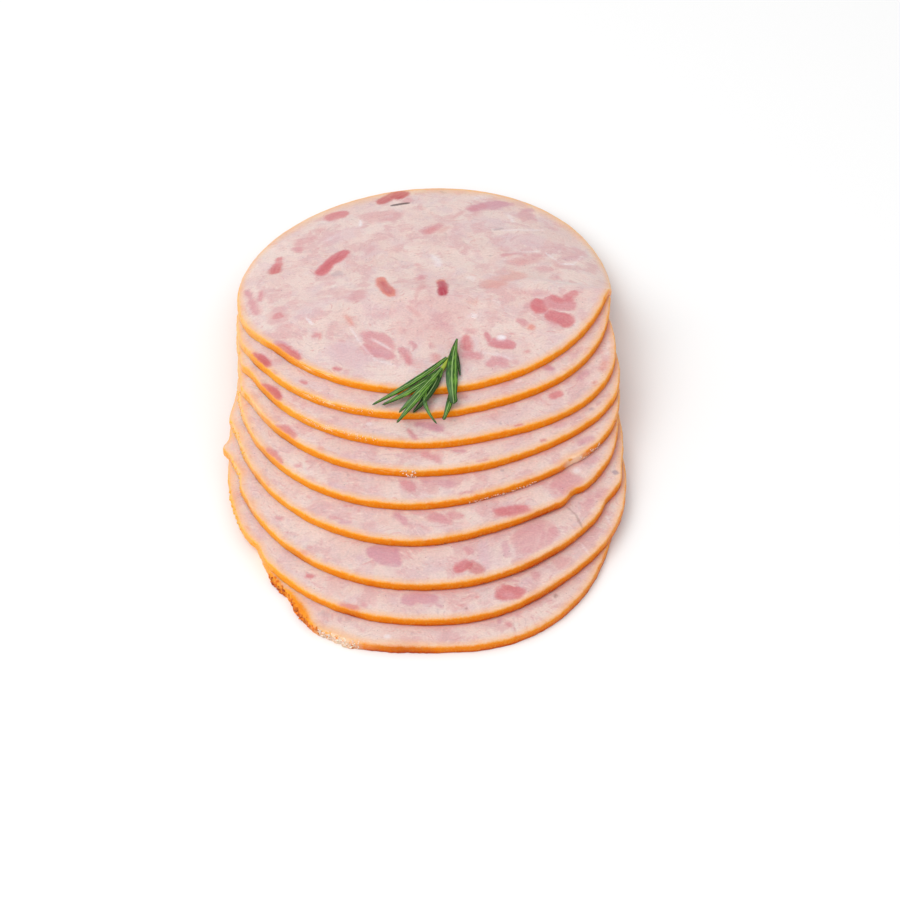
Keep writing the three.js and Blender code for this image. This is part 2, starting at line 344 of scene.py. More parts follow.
T = Tone
CHUNKS: dict[str, tuple[Chunk, ...]] = {
    "slice_1": (
        Chunk(2, -36, 34, 24, 10, T.PINK, 0.26, 6),
        Chunk(22.5, 37.5, 28, 10, 34, T.LILAC, 0.25, 2.5),
        Chunk(39, 25.5, 25, 12.5, 13, T.LILAC, 0.45, 2),
        Chunk(-33, 31.5, 18.5, 9.5, 34, T.LILAC, 0.45, 2.2),
        Chunk(-44, -27.5, 11, 16.5, 158, T.LILAC, 0.35, 2.2),
        Chunk(-16.5, -33, 14, 8.5, 175, T.LILAC, 0.35, 2.4),
        Chunk(-29.5, -56.5, 19, 9, 142, T.LILAC, 0.6, 2.2),
        Chunk(-22.5, 17, 15, 5.5, 68, T.LILAC, 0.3, 1.6),
        Chunk(8, -41, 9.5, 5.5, 177, T.PINK, 0.5, 1.8),
        # Partly the meat's own pink, partly tinted deeper as the painted shadow of the sprig.
        Chunk(17.5, -43, 6, 3.5, 174, T.PINK, 0.55, 1.4),
        Chunk(68, -13.5, 16, 6, 96, T.LILAC, 0.35, 2),
        Chunk(-15.5, 65.5, 15, 5.6, 52, T.RED, 0.9, 0.9, 0.2),
        Chunk(-12, 67, 9.5, 7, 56, T.RED, 1, 1.2, 0.2),
        Chunk(-8, 62, 4.5, 5, 150, T.PINK, 0.6, 1.2),
        Chunk(-11, 58, 8.8, 2, 16, T.DARK, 1, 0.4, 0.1),
        Chunk(-37.3, 50.5, 10.5, 7, 30, T.ROSE, 0.85, 1.2, 0.2),
        Chunk(-19, 46.5, 17, 9.5, 13, T.PINK, 0.5, 1.8),
        Chunk(-50, 31, 10, 4.5, 30, T.PINK, 0.55, 1.6),
        Chunk(-52.5, 24, 6.5, 4, 120, T.PINK, 0.8, 1.4),
        Chunk(-40.6, 5.8, 11.5, 5.2, 64, T.ROSE, 1, 1, 0.12),
        Chunk(-36.2, 13, 15, 6, 55, T.ROSE, 1, 1, 0.12),
        Chunk(-38.5, 9, 13.5, 2.2, 56, T.RED, 0.45, 1.4, 0.2),
        Chunk(-35.5, 1, 5, 4, 26, T.GREY, 0.55, 1.2),
        Chunk(2.5, 34, 12, 5, 46, T.PINK, 0.75, 1.5),
        Chunk(1.5, 33, 5.5, 2.9, 44, T.ROSE, 0.6, 1.4),
        Chunk(0.5, 22, 18.5, 2.7, 11, T.PINK, 0.15, 1.6),
        Chunk(7.5, 33.5, 7.5, 2.4, 49, T.BLUSH, 0.6, 1.4),
        Chunk(-15.8, -13.9, 19.5, 5, 105, T.CORAL, 1, 0.9, 0.2),
        Chunk(-15.6, -14.5, 14, 3, 105, T.RED, 0.85, 1.4, 0.2),
        Chunk(-3.5, 5, 2.5, 2.8, 44, T.PINK, 0.6, 1),
        Chunk(-1.5, -6, 4, 5, 166, T.PINK, 0.85, 1.2),
        Chunk(-1.5, -16, 7, 2.6, 68, T.PINK, 0.75, 1.2),
        Chunk(-2, -17.5, 17, 2.5, 80, T.BLUSH, 0.6, 1.6),
        Chunk(6.5, -11.5, 9, 3.5, 90, T.CORAL, 1, 0.9, 0.2),
        Chunk(7, -16.5, 14.5, 4.5, 90, T.CRIMSON, 1, 1, 0.2),
        Chunk(-60.4, 13.4, 13.5, 3.8, 84, T.ROSE, 0.85, 1.2, 0.2),
        Chunk(-60.8, 9.6, 6.5, 5, 89, T.RED, 0.7, 1.2, 0.2),
        Chunk(-71, -6, 9, 2.4, 109, T.PINK, 0.85, 1.5),
        Chunk(-65.5, -9.5, 9, 2.3, 88, T.PINK, 0.85, 1.4),
        Chunk(-68, -16.5, 15.5, 4, 106, T.PINK, 0.75, 1.7),
        Chunk(-57.5, -28.8, 17, 8.5, 92, T.PINK, 0.5, 1.6),
        Chunk(-57.3, -28.4, 7, 5, 93, T.ROSE, 0.8, 1.2),
        Chunk(-29.5, -37, 7.5, 2.4, 121, T.CORAL, 0.55, 1.3),
        Chunk(-26.5, -21, 7.5, 12, 168, T.PINK, 0.6, 1.8),
        Chunk(-42, -46, 4.5, 4, 0, T.ROSE, 0.75, 1.6),
        Chunk(-17.5, -49, 16.5, 7, 145, T.PINK, 0.8, 1.5),
        Chunk(-18, -54.5, 15, 6.5, 153, T.PINK, 0.85, 1.2),
        Chunk(-16.5, -55.5, 9, 3.5, 162, T.MAUVE, 0.5, 1.4),
        Chunk(-55.5, -50.5, 6.5, 4.5, 169, T.MAUVE, 0.85, 1, 0.25),
        Chunk(-52, -55, 12.5, 5, 138, T.ROSE, 0.95, 1, 0.25),
        Chunk(-51, -57, 6.5, 2.9, 145, T.RED, 0.4, 1.2, 0.2),
        Chunk(-33.5, -64, 4, 1.9, 164, T.ROSE, 0.85, 1),
        Chunk(-7, -57, 12, 3.5, 115, T.PINK, 0.85, 1.3),
        Chunk(-6.5, -59, 6, 2.2, 122, T.ROSE, 0.4, 1.3),
        Chunk(-4.5, -50.5, 5.5, 2.4, 119, T.PINK, 0.8, 1.3),
        Chunk(3, -51, 4.5, 2.2, 121, T.PINK, 0.55, 1.2),
        Chunk(-4.5, -31.5, 9.5, 2.8, 132, T.BLUSH, 0.75, 1.8),
        Chunk(26, 57, 22, 7, 27, T.MAUVE, 0.95, 1.2, 0.25),
        Chunk(21.5, 55.5, 10.5, 4.5, 30, T.ROSE, 0.35, 1.4),
        Chunk(13, 47, 9.5, 2.3, 58, T.PINK, 0.6, 1.2),
        Chunk(39, 62.5, 6, 6, 14, T.MAUVE, 0.4, 1.5),
        Chunk(42, 56.5, 6.5, 4, 29, T.MAUVE, 0.8, 1.3),
        Chunk(42, 49, 7, 12, 20, T.PINK, 0.6, 1.1, 0.3),
        Chunk(29.5, 35, 5.5, 2.2, 22, T.GREY, 0.7, 0.9),
        Chunk(28.5, 25.5, 4, 5, 156, T.PINK, 0.6, 1.3),
        Chunk(32.5, 18.5, 6, 4.5, 162, T.PINK, 0.5, 1.4),
        Chunk(52, 24.5, 7.5, 6.5, 155, T.MAUVE, 0.35, 1.8),
        Chunk(34.5, 14.5, 9.5, 3, 26, T.PINK, 0.75, 1.2),
        Chunk(41, 11, 18, 6, 27, T.PINK, 0.45, 1.4),
        Chunk(39, 8.5, 7, 3.5, 28, T.ROSE, 0.5, 1.3),
        Chunk(59.5, 16, 9, 4.5, 40, T.MAUVE, 0.6, 1.2),
        Chunk(48.5, 5, 8, 4.5, 8, T.PINK, 0.45, 1.5),
        Chunk(27, -11.5, 12, 10.5, 27, T.CORAL, 0.52, 2.4),
        Chunk(34.5, -4.5, 12, 8.5, 36, T.CORAL, 0.45, 1.8),
        Chunk(42, -21.5, 14, 4, 179, T.PINK, 0.4, 1.8),
        Chunk(18, -26, 6, 3.5, 175, T.CORAL, 0.32, 1.8),
        Chunk(42, -28.5, 5, 5.5, 160, T.PINK, 0.3, 1.4),
        Chunk(45.6, -29, 8, 7, 153, T.ROSE, 0.9, 1, 0.25),
        Chunk(53.2, -27, 13.5, 8, 170, T.PINK, 0.9, 1.1),
        Chunk(52, -24.5, 6.5, 4, 154, T.ROSE, 0.8, 1),
        Chunk(57.5, -23, 7, 4.5, 43, T.ROSE, 0.7, 1),
        Chunk(52.5, -36, 12.5, 7, 148, T.ROSE, 0.85, 0.9, 0.2),
        Chunk(54.5, -35.5, 7.5, 5.5, 162, T.ROSE, 0.5, 0.9, 0.2),
        Chunk(55, -37.5, 6.5, 3, 135, T.RED, 0.12, 1.4, 0.2),
        Chunk(53, -31.5, 9, 0.8, 171, T.CREAM, 0.28, 0.7, 0.4),
        Chunk(48, -30, 7, 0.6, 92, T.CREAM, 0.15, 0.8, 0.4),
        Chunk(38, -38, 6, 3, 139, T.PINK, 0.8, 1.3),
        Chunk(41.5, -41, 3.5, 3, 146, T.CORAL, 0.85, 1.2),
        Chunk(24.5, -46.5, 7, 2.4, 104, T.PINK, 1, 0.9, 0.2),
        Chunk(29.9, -50.6, 11, 5.6, 166, T.PINK, 1, 0.9, 0.2),
        Chunk(30.5, -52, 7, 2.8, 171, T.ROSE, 0.35, 1.2, 0.2),
        Chunk(29, -60.5, 8.5, 6, 165, T.PINK, 0.7, 1.2),
        Chunk(35, -60.5, 3, 2.7, 160, T.PINK, 0.55, 1.2),
        Chunk(39.5, -54.5, 3, 2.4, 22, T.ROSE, 0.6, 1.1),
        # These two chunks are partly the meat's own pink and partly the painted shadow of the sprig.
        Chunk(16.5, -50, 10, 4, 92, T.ROSE, 0.8, 1.6),
        Chunk(18, -57, 9, 4.5, 178, T.PINK, 0.8, 1.6),
        Chunk(4.5, -58, 5, 3.5, 97, T.ROSE, 0.5, 1.3),
        Chunk(10, -50.5, 4.5, 2.9, 109, T.BLUSH, 0.6, 1.5),
        Chunk(-27, 41, 6.5, 1.2, 94, T.WHITE, 0.8, 1, 0.5),
        Chunk(-38, 32, 8.5, 2.5, 46, T.WHITE, 0.45, 1.3, 0.5),
        Chunk(-45, -37, 6.5, 1.2, 124, T.WHITE, 0.75, 1, 0.5),
        Chunk(-27, -45, 10, 0.7, 113, T.WHITE, 0.5, 0.9, 0.5),
        Chunk(-22, -54.5, 11, 0.7, 122, T.WHITE, 0.55, 0.9, 0.5),
        Chunk(-14, -61, 10, 0.8, 158, T.WHITE, 0.45, 0.9, 0.5),
        Chunk(-16.5, -50.5, 9.5, 0.8, 142, T.WHITE, 0.75, 0.8, 0.5),
        Chunk(4.5, 8, 10.5, 2.8, 108, T.WHITE, 0.55, 1.4, 0.5),
        Chunk(18.5, -34, 4.5, 2.3, 3, T.WHITE, 0.65, 1.3, 0.5),
        Chunk(29.5, -47, 3.5, 2.5, 0, T.WHITE, 0.95, 1, 0.4),
        Chunk(28.5, -57, 12, 0.8, 160, T.WHITE, 0.4, 0.8, 0.5),
        Chunk(51.5, 14.5, 10, 1.1, 127, T.WHITE, 0.5, 1, 0.5),
        Chunk(57.5, 10.5, 6.5, 1.5, 11, T.WHITE, 0.6, 0.9, 0.5),
        Chunk(62, 16, 11, 0.7, 66, T.WHITE, 0.6, 0.9, 0.5),
        Chunk(40, 36, 19.5, 1.6, 15, T.WHITE, 0.4, 1, 0.5),
        Chunk(40, 17, 13.5, 1.3, 15, T.WHITE, 0.4, 1, 0.5),
        Chunk(35.5, 11.5, 7.5, 1, 30, T.WHITE, 0.45, 0.9, 0.5),
        Chunk(35.5, 46.5, 7.5, 1.6, 108, T.WHITE, 0.4, 1.3, 0.5),
        Chunk(18.5, -6, 3.5, 2.9, 32, T.WHITE, 0.4, 1.3, 0.5),
        Chunk(30.5, -57, 7, 0.7, 152, T.WHITE, 0.5, 0.8, 0.5),
        Chunk(24.5, 66, 8.5, 4, 20, T.WHITE, 0.35, 1.6, 0.5),
        Chunk(62.5, -43, 2.5, 1.4, 123, T.CREAM, 0.5, 1, 0.4),
        Chunk(6.5, 69.5, 1.5, 2.9, 40, T.BROWN, 0.4, 1, 0.3),
    ),
    "slice_2": (
        Chunk(-39, -53.5, 6, 4, 150, T.LILAC, 0.5, 1.2),
        Chunk(30, -58.5, 7, 2.2, 30, T.BLUSH, 0.6, 1.2),
        Chunk(-12, -67, 7, 3, 150, T.LILAC, 0.4, 1.4),
        Chunk(57, -42, 7, 3, 50, T.PINK, 0.4, 1.4),
        Chunk(-65, -46, 12.5, 5, 129, T.ROSE, 1, 1, 0.25),
        Chunk(-64.5, -47, 6.5, 2.7, 133, T.CRIMSON, 0.4, 1.3, 0.2),
        Chunk(-59.5, -53.5, 2.4, 1.6, 138, T.ROSE, 0.6, 0.9),
        Chunk(-48, -58.5, 4, 1.9, 140, T.ROSE, 0.75, 1),
        Chunk(46, -50.5, 4.5, 2.8, 132, T.MAUVE, 1, 1.1),
        Chunk(4, -67.5, 3.5, 3.5, 145, T.WHITE, 0.5, 1.4, 0.4),
        Chunk(34.5, -57.5, 3, 2.1, 15, T.WHITE, 0.55, 1, 0.4),
        Chunk(30, -67, 2.2, 1.3, 29, T.ROSE, 0.6, 0.9, 0.2),
        Chunk(13, -66.5, 5.5, 3, 169, T.PINK, 0.4, 1.3),
        Chunk(-3.5, -71, 3.5, 2.1, 171, T.LILAC, 0.4, 1.4),
        Chunk(39.5, -57, 3.5, 2, 28, T.LILAC, 0.4, 1.3),
        Chunk(55, -45.5, 5.5, 2.8, 47, T.BLUSH, 0.5, 1.4),
        Chunk(-38, -67, 5.5, 2.6, 163, T.LILAC, 0.4, 1.3),
    ),
    "slice_3": (
        Chunk(-31, -60, 6, 2.6, 165, T.LILAC, 0.4, 1.3),
        Chunk(-40, -57.5, 7, 2.6, 155, T.LILAC, 0.4, 1.3),
        Chunk(25, -61, 10, 3, 20, T.BLUSH, 0.35, 1.6),
        Chunk(-21, -65, 2.4, 1.4, 0, T.WHITE, 0.5, 0.7, 0.3),
        Chunk(-59, -47.5, 12.5, 5, 135, T.ROSE, 0.95, 1, 0.25),
        Chunk(-57.5, -48.5, 7, 3, 135, T.RED, 0.5, 1.2, 0.2),
        Chunk(-62, -42, 2.9, 1.6, 175, T.GREY, 0.5, 1),
        Chunk(-53, -55.5, 2.1, 1.3, 131, T.ROSE, 0.5, 0.9),
        Chunk(-41.5, -58.5, 1.5, 1.6, 0, T.MAUVE, 0.5, 1),
        Chunk(-33, -64, 6.5, 2.5, 155, T.LILAC, 0.3, 1.4),
        Chunk(2, -66, 11.5, 4.5, 166, T.MAUVE, 0.95, 1.3),
        Chunk(-4.5, -70.5, 7, 2.3, 119, T.PINK, 0.85, 1.1),
        Chunk(36, -66, 4, 1.5, 19, T.ROSE, 0.85, 0.9),
        Chunk(29, -64.5, 1.2, 1.3, 0, T.GREY, 0.7, 0.7, 0.2),
        Chunk(33.5, -56.5, 4.5, 2.4, 38, T.MAUVE, 0.5, 1.3),
        Chunk(50.5, -49, 6.5, 4, 25, T.ROSE, 0.75, 1.1),
        Chunk(61, -38.5, 7, 3.5, 44, T.MAUVE, 0.75, 1.4),
        Chunk(69.5, -33.5, 6.5, 2.9, 66, T.CORAL, 0.65, 1.8),
        Chunk(65.5, -43, 2.1, 1.7, 32, T.CORAL, 0.8, 1.1),
    ),
    "slice_4": (
        Chunk(-9.5, -67, 3.2, 2, 170, T.MAUVE, 0.6, 0.9),
        Chunk(14, -61.5, 12, 3, 12, T.BLUSH, 0.5, 1.4),
        Chunk(31, -56.5, 8, 3.4, 28, T.LILAC, 0.6, 1.1),
        Chunk(-22, -62, 9, 3, 160, T.LILAC, 0.35, 1.4),
        Chunk(-53, -54.5, 10.5, 5, 142, T.ROSE, 0.8, 1.1, 0.25),
        Chunk(-55.5, -50.5, 3.5, 1.1, 171, T.CREAM, 0.5, 0.8, 0.4),
        Chunk(-39.5, -63.5, 3.5, 2.2, 157, T.CORAL, 0.65, 1.1),
        Chunk(-29, -67.5, 7, 2, 167, T.LILAC, 0.6, 1.2),
        Chunk(13, -64.5, 6, 2.1, 178, T.MAUVE, 0.85, 1.2),
        Chunk(3, -68, 10, 3.5, 134, T.PINK, 0.65, 1.3),
        Chunk(22, -69.5, 5, 1.5, 12, T.PINK, 0.85, 1),
        Chunk(45, -59, 2.8, 1.3, 16, T.ROSE, 0.85, 0.9),
        Chunk(63.5, -42.5, 1.9, 1.5, 34, T.GREY, 0.85, 0.7, 0.2),
        Chunk(51, -51, 7, 3, 17, T.MAUVE, 0.6, 1.4),
    ),
    "slice_5": (
        Chunk(48, -47, 9, 5, 40, T.PINK, 0.35, 1.4),
        Chunk(-58.5, -51.5, 10.5, 4, 128, T.ROSE, 0.8, 1.1, 0.25),
        Chunk(-61.5, -50.5, 6, 2.1, 122, T.RED, 0.5, 1.2, 0.2),
        Chunk(-49, -56, 3, 1.8, 175, T.PINK, 0.75, 1),
        Chunk(-44, -62.5, 4.5, 2, 158, T.MAUVE, 0.45, 1.1),
        Chunk(-33.5, -67, 8.5, 2.2, 158, T.LILAC, 0.7, 1.2),
        Chunk(-30, -61, 1.1, 1, 0, T.GREY, 0.6, 0.7, 0.2),
        Chunk(-68, -32, 2.7, 3, 38, T.PINK, 0.5, 1.5),
        Chunk(-7.5, -66.5, 8.5, 4, 125, T.PINK, 0.75, 1.1),
        Chunk(4, -64.5, 13, 4, 170, T.MAUVE, 0.6, 1.3),
        Chunk(14, -70, 5.5, 1.5, 19, T.PINK, 0.85, 1),
        Chunk(28, -58.5, 1.5, 1, 149, T.GREY, 0.9, 0.6, 0.2),
        Chunk(45.5, -48.5, 8.5, 3.5, 31, T.MAUVE, 0.4, 1.4),
        Chunk(60, -43, 7.5, 3.5, 33, T.MAUVE, 0.7, 1.4),
    ),
    "slice_6": (
        Chunk(-62, -39.5, 1.1, 1, 0, T.GREY, 0.6, 0.7, 0.2),
        Chunk(-62, -47.5, 2.7, 1.9, 151, T.RED, 0.6, 1, 0.2),
        Chunk(-56.5, -52.5, 1.4, 1.5, 167, T.MAUVE, 0.5, 0.9, 0.2),
        Chunk(-45.5, -53.5, 2.1, 1.3, 132, T.ROSE, 0.5, 1),
        Chunk(-31.5, -66, 5, 2.5, 0, T.MAUVE, 0.65, 1.1),
        Chunk(-40, -59, 5.5, 2.4, 159, T.LILAC, 0.3, 1.4),
        Chunk(-10.5, -64.5, 8, 3.5, 124, T.MAUVE, 0.75, 1.1),
        Chunk(-2.5, -61.5, 9.5, 3, 177, T.MAUVE, 0.5, 1.2),
        Chunk(3.5, -64, 11, 4.5, 164, T.PINK, 0.75, 1.1),
        Chunk(9.5, -62.5, 7, 3.5, 172, T.PINK, 0.65, 1),
        Chunk(5.5, -62.5, 5, 0.6, 126, T.CREAM, 0.4, 0.7, 0.4),
        Chunk(-7, -66.5, 0.9, 1, 0, T.GREY, 0.7, 0.7, 0.2),
        Chunk(-5.5, -67, 0.9, 1, 0, T.GREY, 0.7, 0.7, 0.2),
        Chunk(30.5, -60.5, 14, 6, 12, T.ROSE, 0.85, 1.5, 0.25),
        Chunk(31, -60, 6.5, 2.5, 13, T.RED, 0.25, 1.3, 0.2),
        Chunk(40, -45.5, 11, 4, 19, T.MAUVE, 0.35, 1.6),
        Chunk(51, -46.5, 14, 10.5, 47, T.PINK, 0.65, 1.3),
        Chunk(55.5, -39.5, 2.9, 2.1, 164, T.WHITE, 0.55, 0.9, 0.4),
        Chunk(48, -51.5, 6, 0.8, 119, T.CREAM, 0.5, 0.8, 0.4),
        Chunk(60, -35, 8, 4, 29, T.MAUVE, 0.4, 1.4),
    ),
    "slice_7": (
        Chunk(-45, -60, 3.4, 2, 130, T.CORAL, 0.5, 0.9),
        Chunk(66, -30, 8, 4, 70, T.PINK, 0.45, 1.3),
        Chunk(-55.5, -42.5, 4, 2.2, 158, T.ROSE, 0.7, 1),
        Chunk(-49, -51.5, 0.9, 1, 0, T.GREY, 0.5, 0.7, 0.2),
        Chunk(-46, -60, 4, 2.1, 137, T.ROSE, 0.6, 1.1),
        Chunk(-37.5, -63.5, 2.2, 2.3, 147, T.MAUVE, 0.55, 1),
        Chunk(-24.5, -62, 2.2, 2.4, 169, T.LILAC, 0.6, 0.9),
        Chunk(-16.3, -59.4, 12.5, 6.2, 178, T.MAUVE, 0.9, 0.9, 0.15),
        Chunk(-14.4, -63.6, 11.5, 5.6, 152, T.MAUVE, 0.85, 1, 0.15),
        Chunk(-14.6, -61.2, 11, 6.4, 166, T.MAUVE, 0.85, 1, 0.15),
        Chunk(15.5, -58.5, 4.5, 3, 119, T.PINK, 0.75, 1.1),
        Chunk(13, -66.5, 8, 5, 38, T.ROSE, 0.85, 1, 0.25),
        Chunk(18, -67.5, 9, 5.5, 136, T.RED, 0.6, 1.1, 0.25),
        Chunk(17, -67.5, 5.5, 3, 133, T.CRIMSON, 0.15, 1.4, 0.2),
        Chunk(21.5, -60.5, 16, 3.5, 97, T.LILAC, 0.6, 1.2),
        Chunk(29.5, -58, 9, 2.6, 96, T.MAUVE, 0.8, 1.2),
        Chunk(40, -52, 19.5, 12.5, 40, T.PINK, 0.6, 1.4),
        Chunk(60.5, -35, 7.5, 4.5, 57, T.PINK, 0.5, 1.4),
        Chunk(54, -38.5, 5, 0.7, 129, T.BROWN, 0.55, 0.6, 0.2),
        Chunk(57, -44.5, 9, 0.9, 108, T.BROWN, 0.6, 0.6, 0.2),
        Chunk(59.5, -30, 1.4, 1.5, 155, T.WHITE, 0.4, 0.9, 0.4),
        Chunk(71.5, -19, 2.5, 2.5, 24, T.GREY, 1, 0.6, 0.2),
        Chunk(31, -56.5, 10, 0.7, 85, T.CREAM, 0.25, 0.8, 0.4),
        Chunk(34.5, -57, 6.5, 0.7, 23, T.CREAM, 0.25, 0.8, 0.4),
        Chunk(44.5, -49.5, 12.5, 0.6, 84, T.CREAM, 0.25, 0.8, 0.4),
        Chunk(38, -45.5, 6.5, 0.7, 27, T.CREAM, 0.25, 0.8, 0.4),
        Chunk(25.5, -58, 8, 0.6, 95, T.CREAM, 0.3, 0.8, 0.4),
        Chunk(29.5, -58, 14, 1.2, 98, T.CREAM, 0.2, 0.9, 0.5),
        Chunk(26, -60, 9, 1, 85, T.CREAM, 0.3, 0.9, 0.5),
        Chunk(41, -55, 9, 1, 70, T.CREAM, 0.25, 0.9, 0.5),
    ),
    "slice_8": (
        Chunk(-62, -36, 2.2, 2.5, 172, T.MAUVE, 0.4, 1.2),
        Chunk(-42.5, -54.5, 4, 2.2, 170, T.ROSE, 0.85, 1.1, 0.2),
        Chunk(-27.5, -69.5, 8, 4, 169, T.ROSE, 0.8, 1.2),
        Chunk(-22, -68.5, 2.7, 2.3, 164, T.PINK, 0.6, 1.1),
        Chunk(-2, -65.5, 13.5, 6, 174, T.MAUVE, 0.8, 1, 0.25),
        Chunk(5, -68.5, 4, 1.4, 152, T.MAUVE, 0.75, 1.1),
        Chunk(-11, -63.5, 3.5, 2.4, 4, T.MAUVE, 0.35, 1.2),
        Chunk(31, -62.5, 11.5, 7.5, 178, T.ROSE, 0.85, 1, 0.25),
        Chunk(32, -60, 6.5, 4.5, 176, T.RED, 0.2, 1.3, 0.2),
        Chunk(30.5, -63.5, 4, 2.9, 0, T.PINK, 0.6, 1, 0.3),
        Chunk(15, -70, 1.1, 1.2, 0, T.BROWN, 0.7, 0.7, 0.1),
        Chunk(41, -54, 4, 3.5, 44, T.PINK, 0.6, 1.3),
        Chunk(37.5, -57, 5.5, 3, 31, T.LILAC, 0.5, 1.3),
        Chunk(51, -48.5, 7.5, 5.5, 36, T.PINK, 0.55, 1.4),
        Chunk(69, -28, 7, 0.6, 107, T.WHITE, 0.5, 0.8, 0.4),
        Chunk(59.5, -41.5, 6.5, 0.6, 118, T.WHITE, 0.55, 0.8, 0.4),
        Chunk(18, -61, 4, 0.7, 10, T.WHITE, 0.35, 0.8, 0.3),
        Chunk(31.5, -56.5, 6.5, 1.4, 178, T.MAUVE, 0.6, 0.8, 0.3),
        Chunk(-30.5, -57, 6, 2.3, 155, T.LILAC, 0.35, 1.3),
        Chunk(45.6, -54, 9, 0.9, 70, T.CREAM, 0.2, 0.8, 0.5),
        Chunk(53, -48.5, 9, 0.9, 60, T.CREAM, 0.4, 0.8, 0.5),
    ),
    "slice_9": (
        Chunk(48.5, -52.5, 2.4, 1.6, 80, T.BROWN, 0.6, 0.7, 0.2),
        Chunk(33, -61, 7, 2.6, 15, T.PINK, 0.4, 1.2),
        Chunk(-36, -61.5, 5, 2.7, 155, T.GREY, 0.55, 1.2),
        Chunk(-30.5, -64, 1.5, 1.6, 162, T.MAUVE, 0.5, 1.1),
        Chunk(-13, -72, 2.5, 1.7, 0, T.WHITE, 0.7, 1, 0.4),
        Chunk(27.5, -65, 2.6, 2.9, 174, T.MAUVE, 0.85, 1),
        Chunk(31, -66.5, 4, 1.9, 135, T.ROSE, 0.5, 1.1),
        Chunk(34, -61.5, 3, 2.1, 9, T.MAUVE, 0.7, 1.2),
        Chunk(-4.5, -70.5, 0.8, 0.9, 0, T.GREY, 0.6, 0.8, 0.2),
    ),
}


class Stack:
    """The fan of slices as heights over the surface below."""

    THICKNESS = 3.66
    LAYER = 3.75
    REACHES = 16
    SHELF = 0.4
    DROP_RUN = 18.5
    DROP_EASE = 24.0
    LIFT_REACH = 9.0
    LIFT_ANGLE = 305.0
    LIFT_HALF_WIDTH = 26.0
    FULL_HEIGHT = 34.0
    SWELL_HEIGHT = 0.22
    SWELL_WAVE = 21.0
    RIPPLE_HEIGHT = 0.08
    RIPPLE_WAVE = 8.0
    STIFF_X = 15.0
    STIFF_WIDE = 30.0
    STIFF_Y = 22.0
    STIFF_LONG = 42.0
    SEED = 11

    def __init__(self, slices: Sequence[SliceForm]) -> None:
        """Keeps the slices, the topmost first.

        Args:
            slices: Forms of the slices.
        """
        self.slices = list(slices)
        self.noise = Noise(self.SEED)

    def radius(self, index: int, angle: Array) -> Array:
        """Gives a slice's outline.

        The radius is the sum of sixteen driving radii, each weighted by a uniform cubic
        B-spline of the angle's distance from it, less each nick's depth times a bell curve.

        Args:
            index: Place of the slice in the stack, 0 for the topmost.
            angle: Directions from the slice's middle, in radians.

        Returns:
            Radius in mm for each direction.
        """
        form = self.slices[index]
        reach = np.array([form.near[-1], *form.far, *form.near[:-1]])
        steps = np.asarray(angle)[..., None] / (2 * np.pi) * self.REACHES - np.arange(self.REACHES)
        half = self.REACHES / 2
        t = np.abs((steps + half) % self.REACHES - half)
        inner = (4.0 - 6.0 * t**2 + 3.0 * t**3) / 6.0
        outer = np.clip(2.0 - t, 0.0, None) ** 3 / 6.0
        radius = np.where(t < 1.0, inner, outer) @ reach
        for nick in form.nicks:
            radius = radius - nick.depth * self.bell(angle, nick.angle, nick.half_width)
        return radius

    @staticmethod
    def bell(angle: Array, middle: float, half_width: float) -> Array:
        """Gives a bell curve round the rim, exp(−(distance / half width)²), angles in degrees."""
        apart = (np.degrees(angle) - middle + 180.0) % 360.0 - 180.0
        return np.exp(-((apart / half_width) ** 2))

    def coverage(self, index: int, x: Array, y: Array) -> Array:
        """Tells how much of a slice's height a sheet on top still keeps at a place.

        It is 1 over the slice and its shelf, and eases to 0 beyond it over the drop's run, but
        only on the slice's far side. At the right front the sheet is stiff and stays level: the
        distance beyond counts times 1 − right·front, with right and front eased from 0 to 1.

        Args:
            index: Place of the slice in the stack.
            x: Places across in mm.
            y: Places along the fan in mm.

        Returns:
            A share from 0 to 1 for each place.
        """
        form = self.slices[index]
        dx, dy = x - form.x, y - form.y
        beyond = np.hypot(dx, dy) - self.radius(index, np.arctan2(dy, dx))
        beyond = beyond * np.clip(dy / self.DROP_EASE, 0.0, 1.0)
        right = ease((x - self.STIFF_X) / self.STIFF_WIDE)
        front = 1.0 - ease((y - self.STIFF_Y) / self.STIFF_LONG)
        beyond = beyond * (1.0 - right * front)
        return 1.0 - ease((beyond - self.SHELF) / self.DROP_RUN)

    def underside(self, index: int, x: Array, y: Array) -> Array:
        """Gives the height of a slice's underside.

        It is a layer for each slice below there, times 1 plus a soft unevenness, so the slices
        keep their distance and the lowest one lies flat.

        Args:
            index: Place of the slice in the stack.
            x: Places across in mm.
            y: Places along the fan in mm.

        Returns:
            Height in mm for each place.
        """
        height = np.zeros(np.broadcast(x, y).shape)
        for lower in range(index + 1, len(self.slices)):
            height = height + self.LAYER * self.coverage(lower, x, y)
        swell = self.SWELL_HEIGHT * self.noise.at(x, y, 3.0, self.SWELL_WAVE)
        ripple = self.RIPPLE_HEIGHT * self.noise.at(x, y, 9.0, self.RIPPLE_WAVE)
        return height * (1.0 + (swell + ripple) / self.FULL_HEIGHT)

    def lift(self, index: int, angle: Array, inset: Array) -> Array:
        """Gives how far the right front edge stands off the slice below.

        It is the slice's lift times a bell round the right front times the eased nearness to
        the rim.

        Args:
            index: Place of the slice in the stack.
            angle: Directions from the slice's middle, in radians.
            inset: Distances in from the rim, in mm.

        Returns:
            Height in mm for each point.
        """
        near_rim = ease(1.0 - inset / self.LIFT_REACH)
        front = self.bell(angle, self.LIFT_ANGLE, self.LIFT_HALF_WIDTH)
        return self.slices[index].lift * front * near_rim


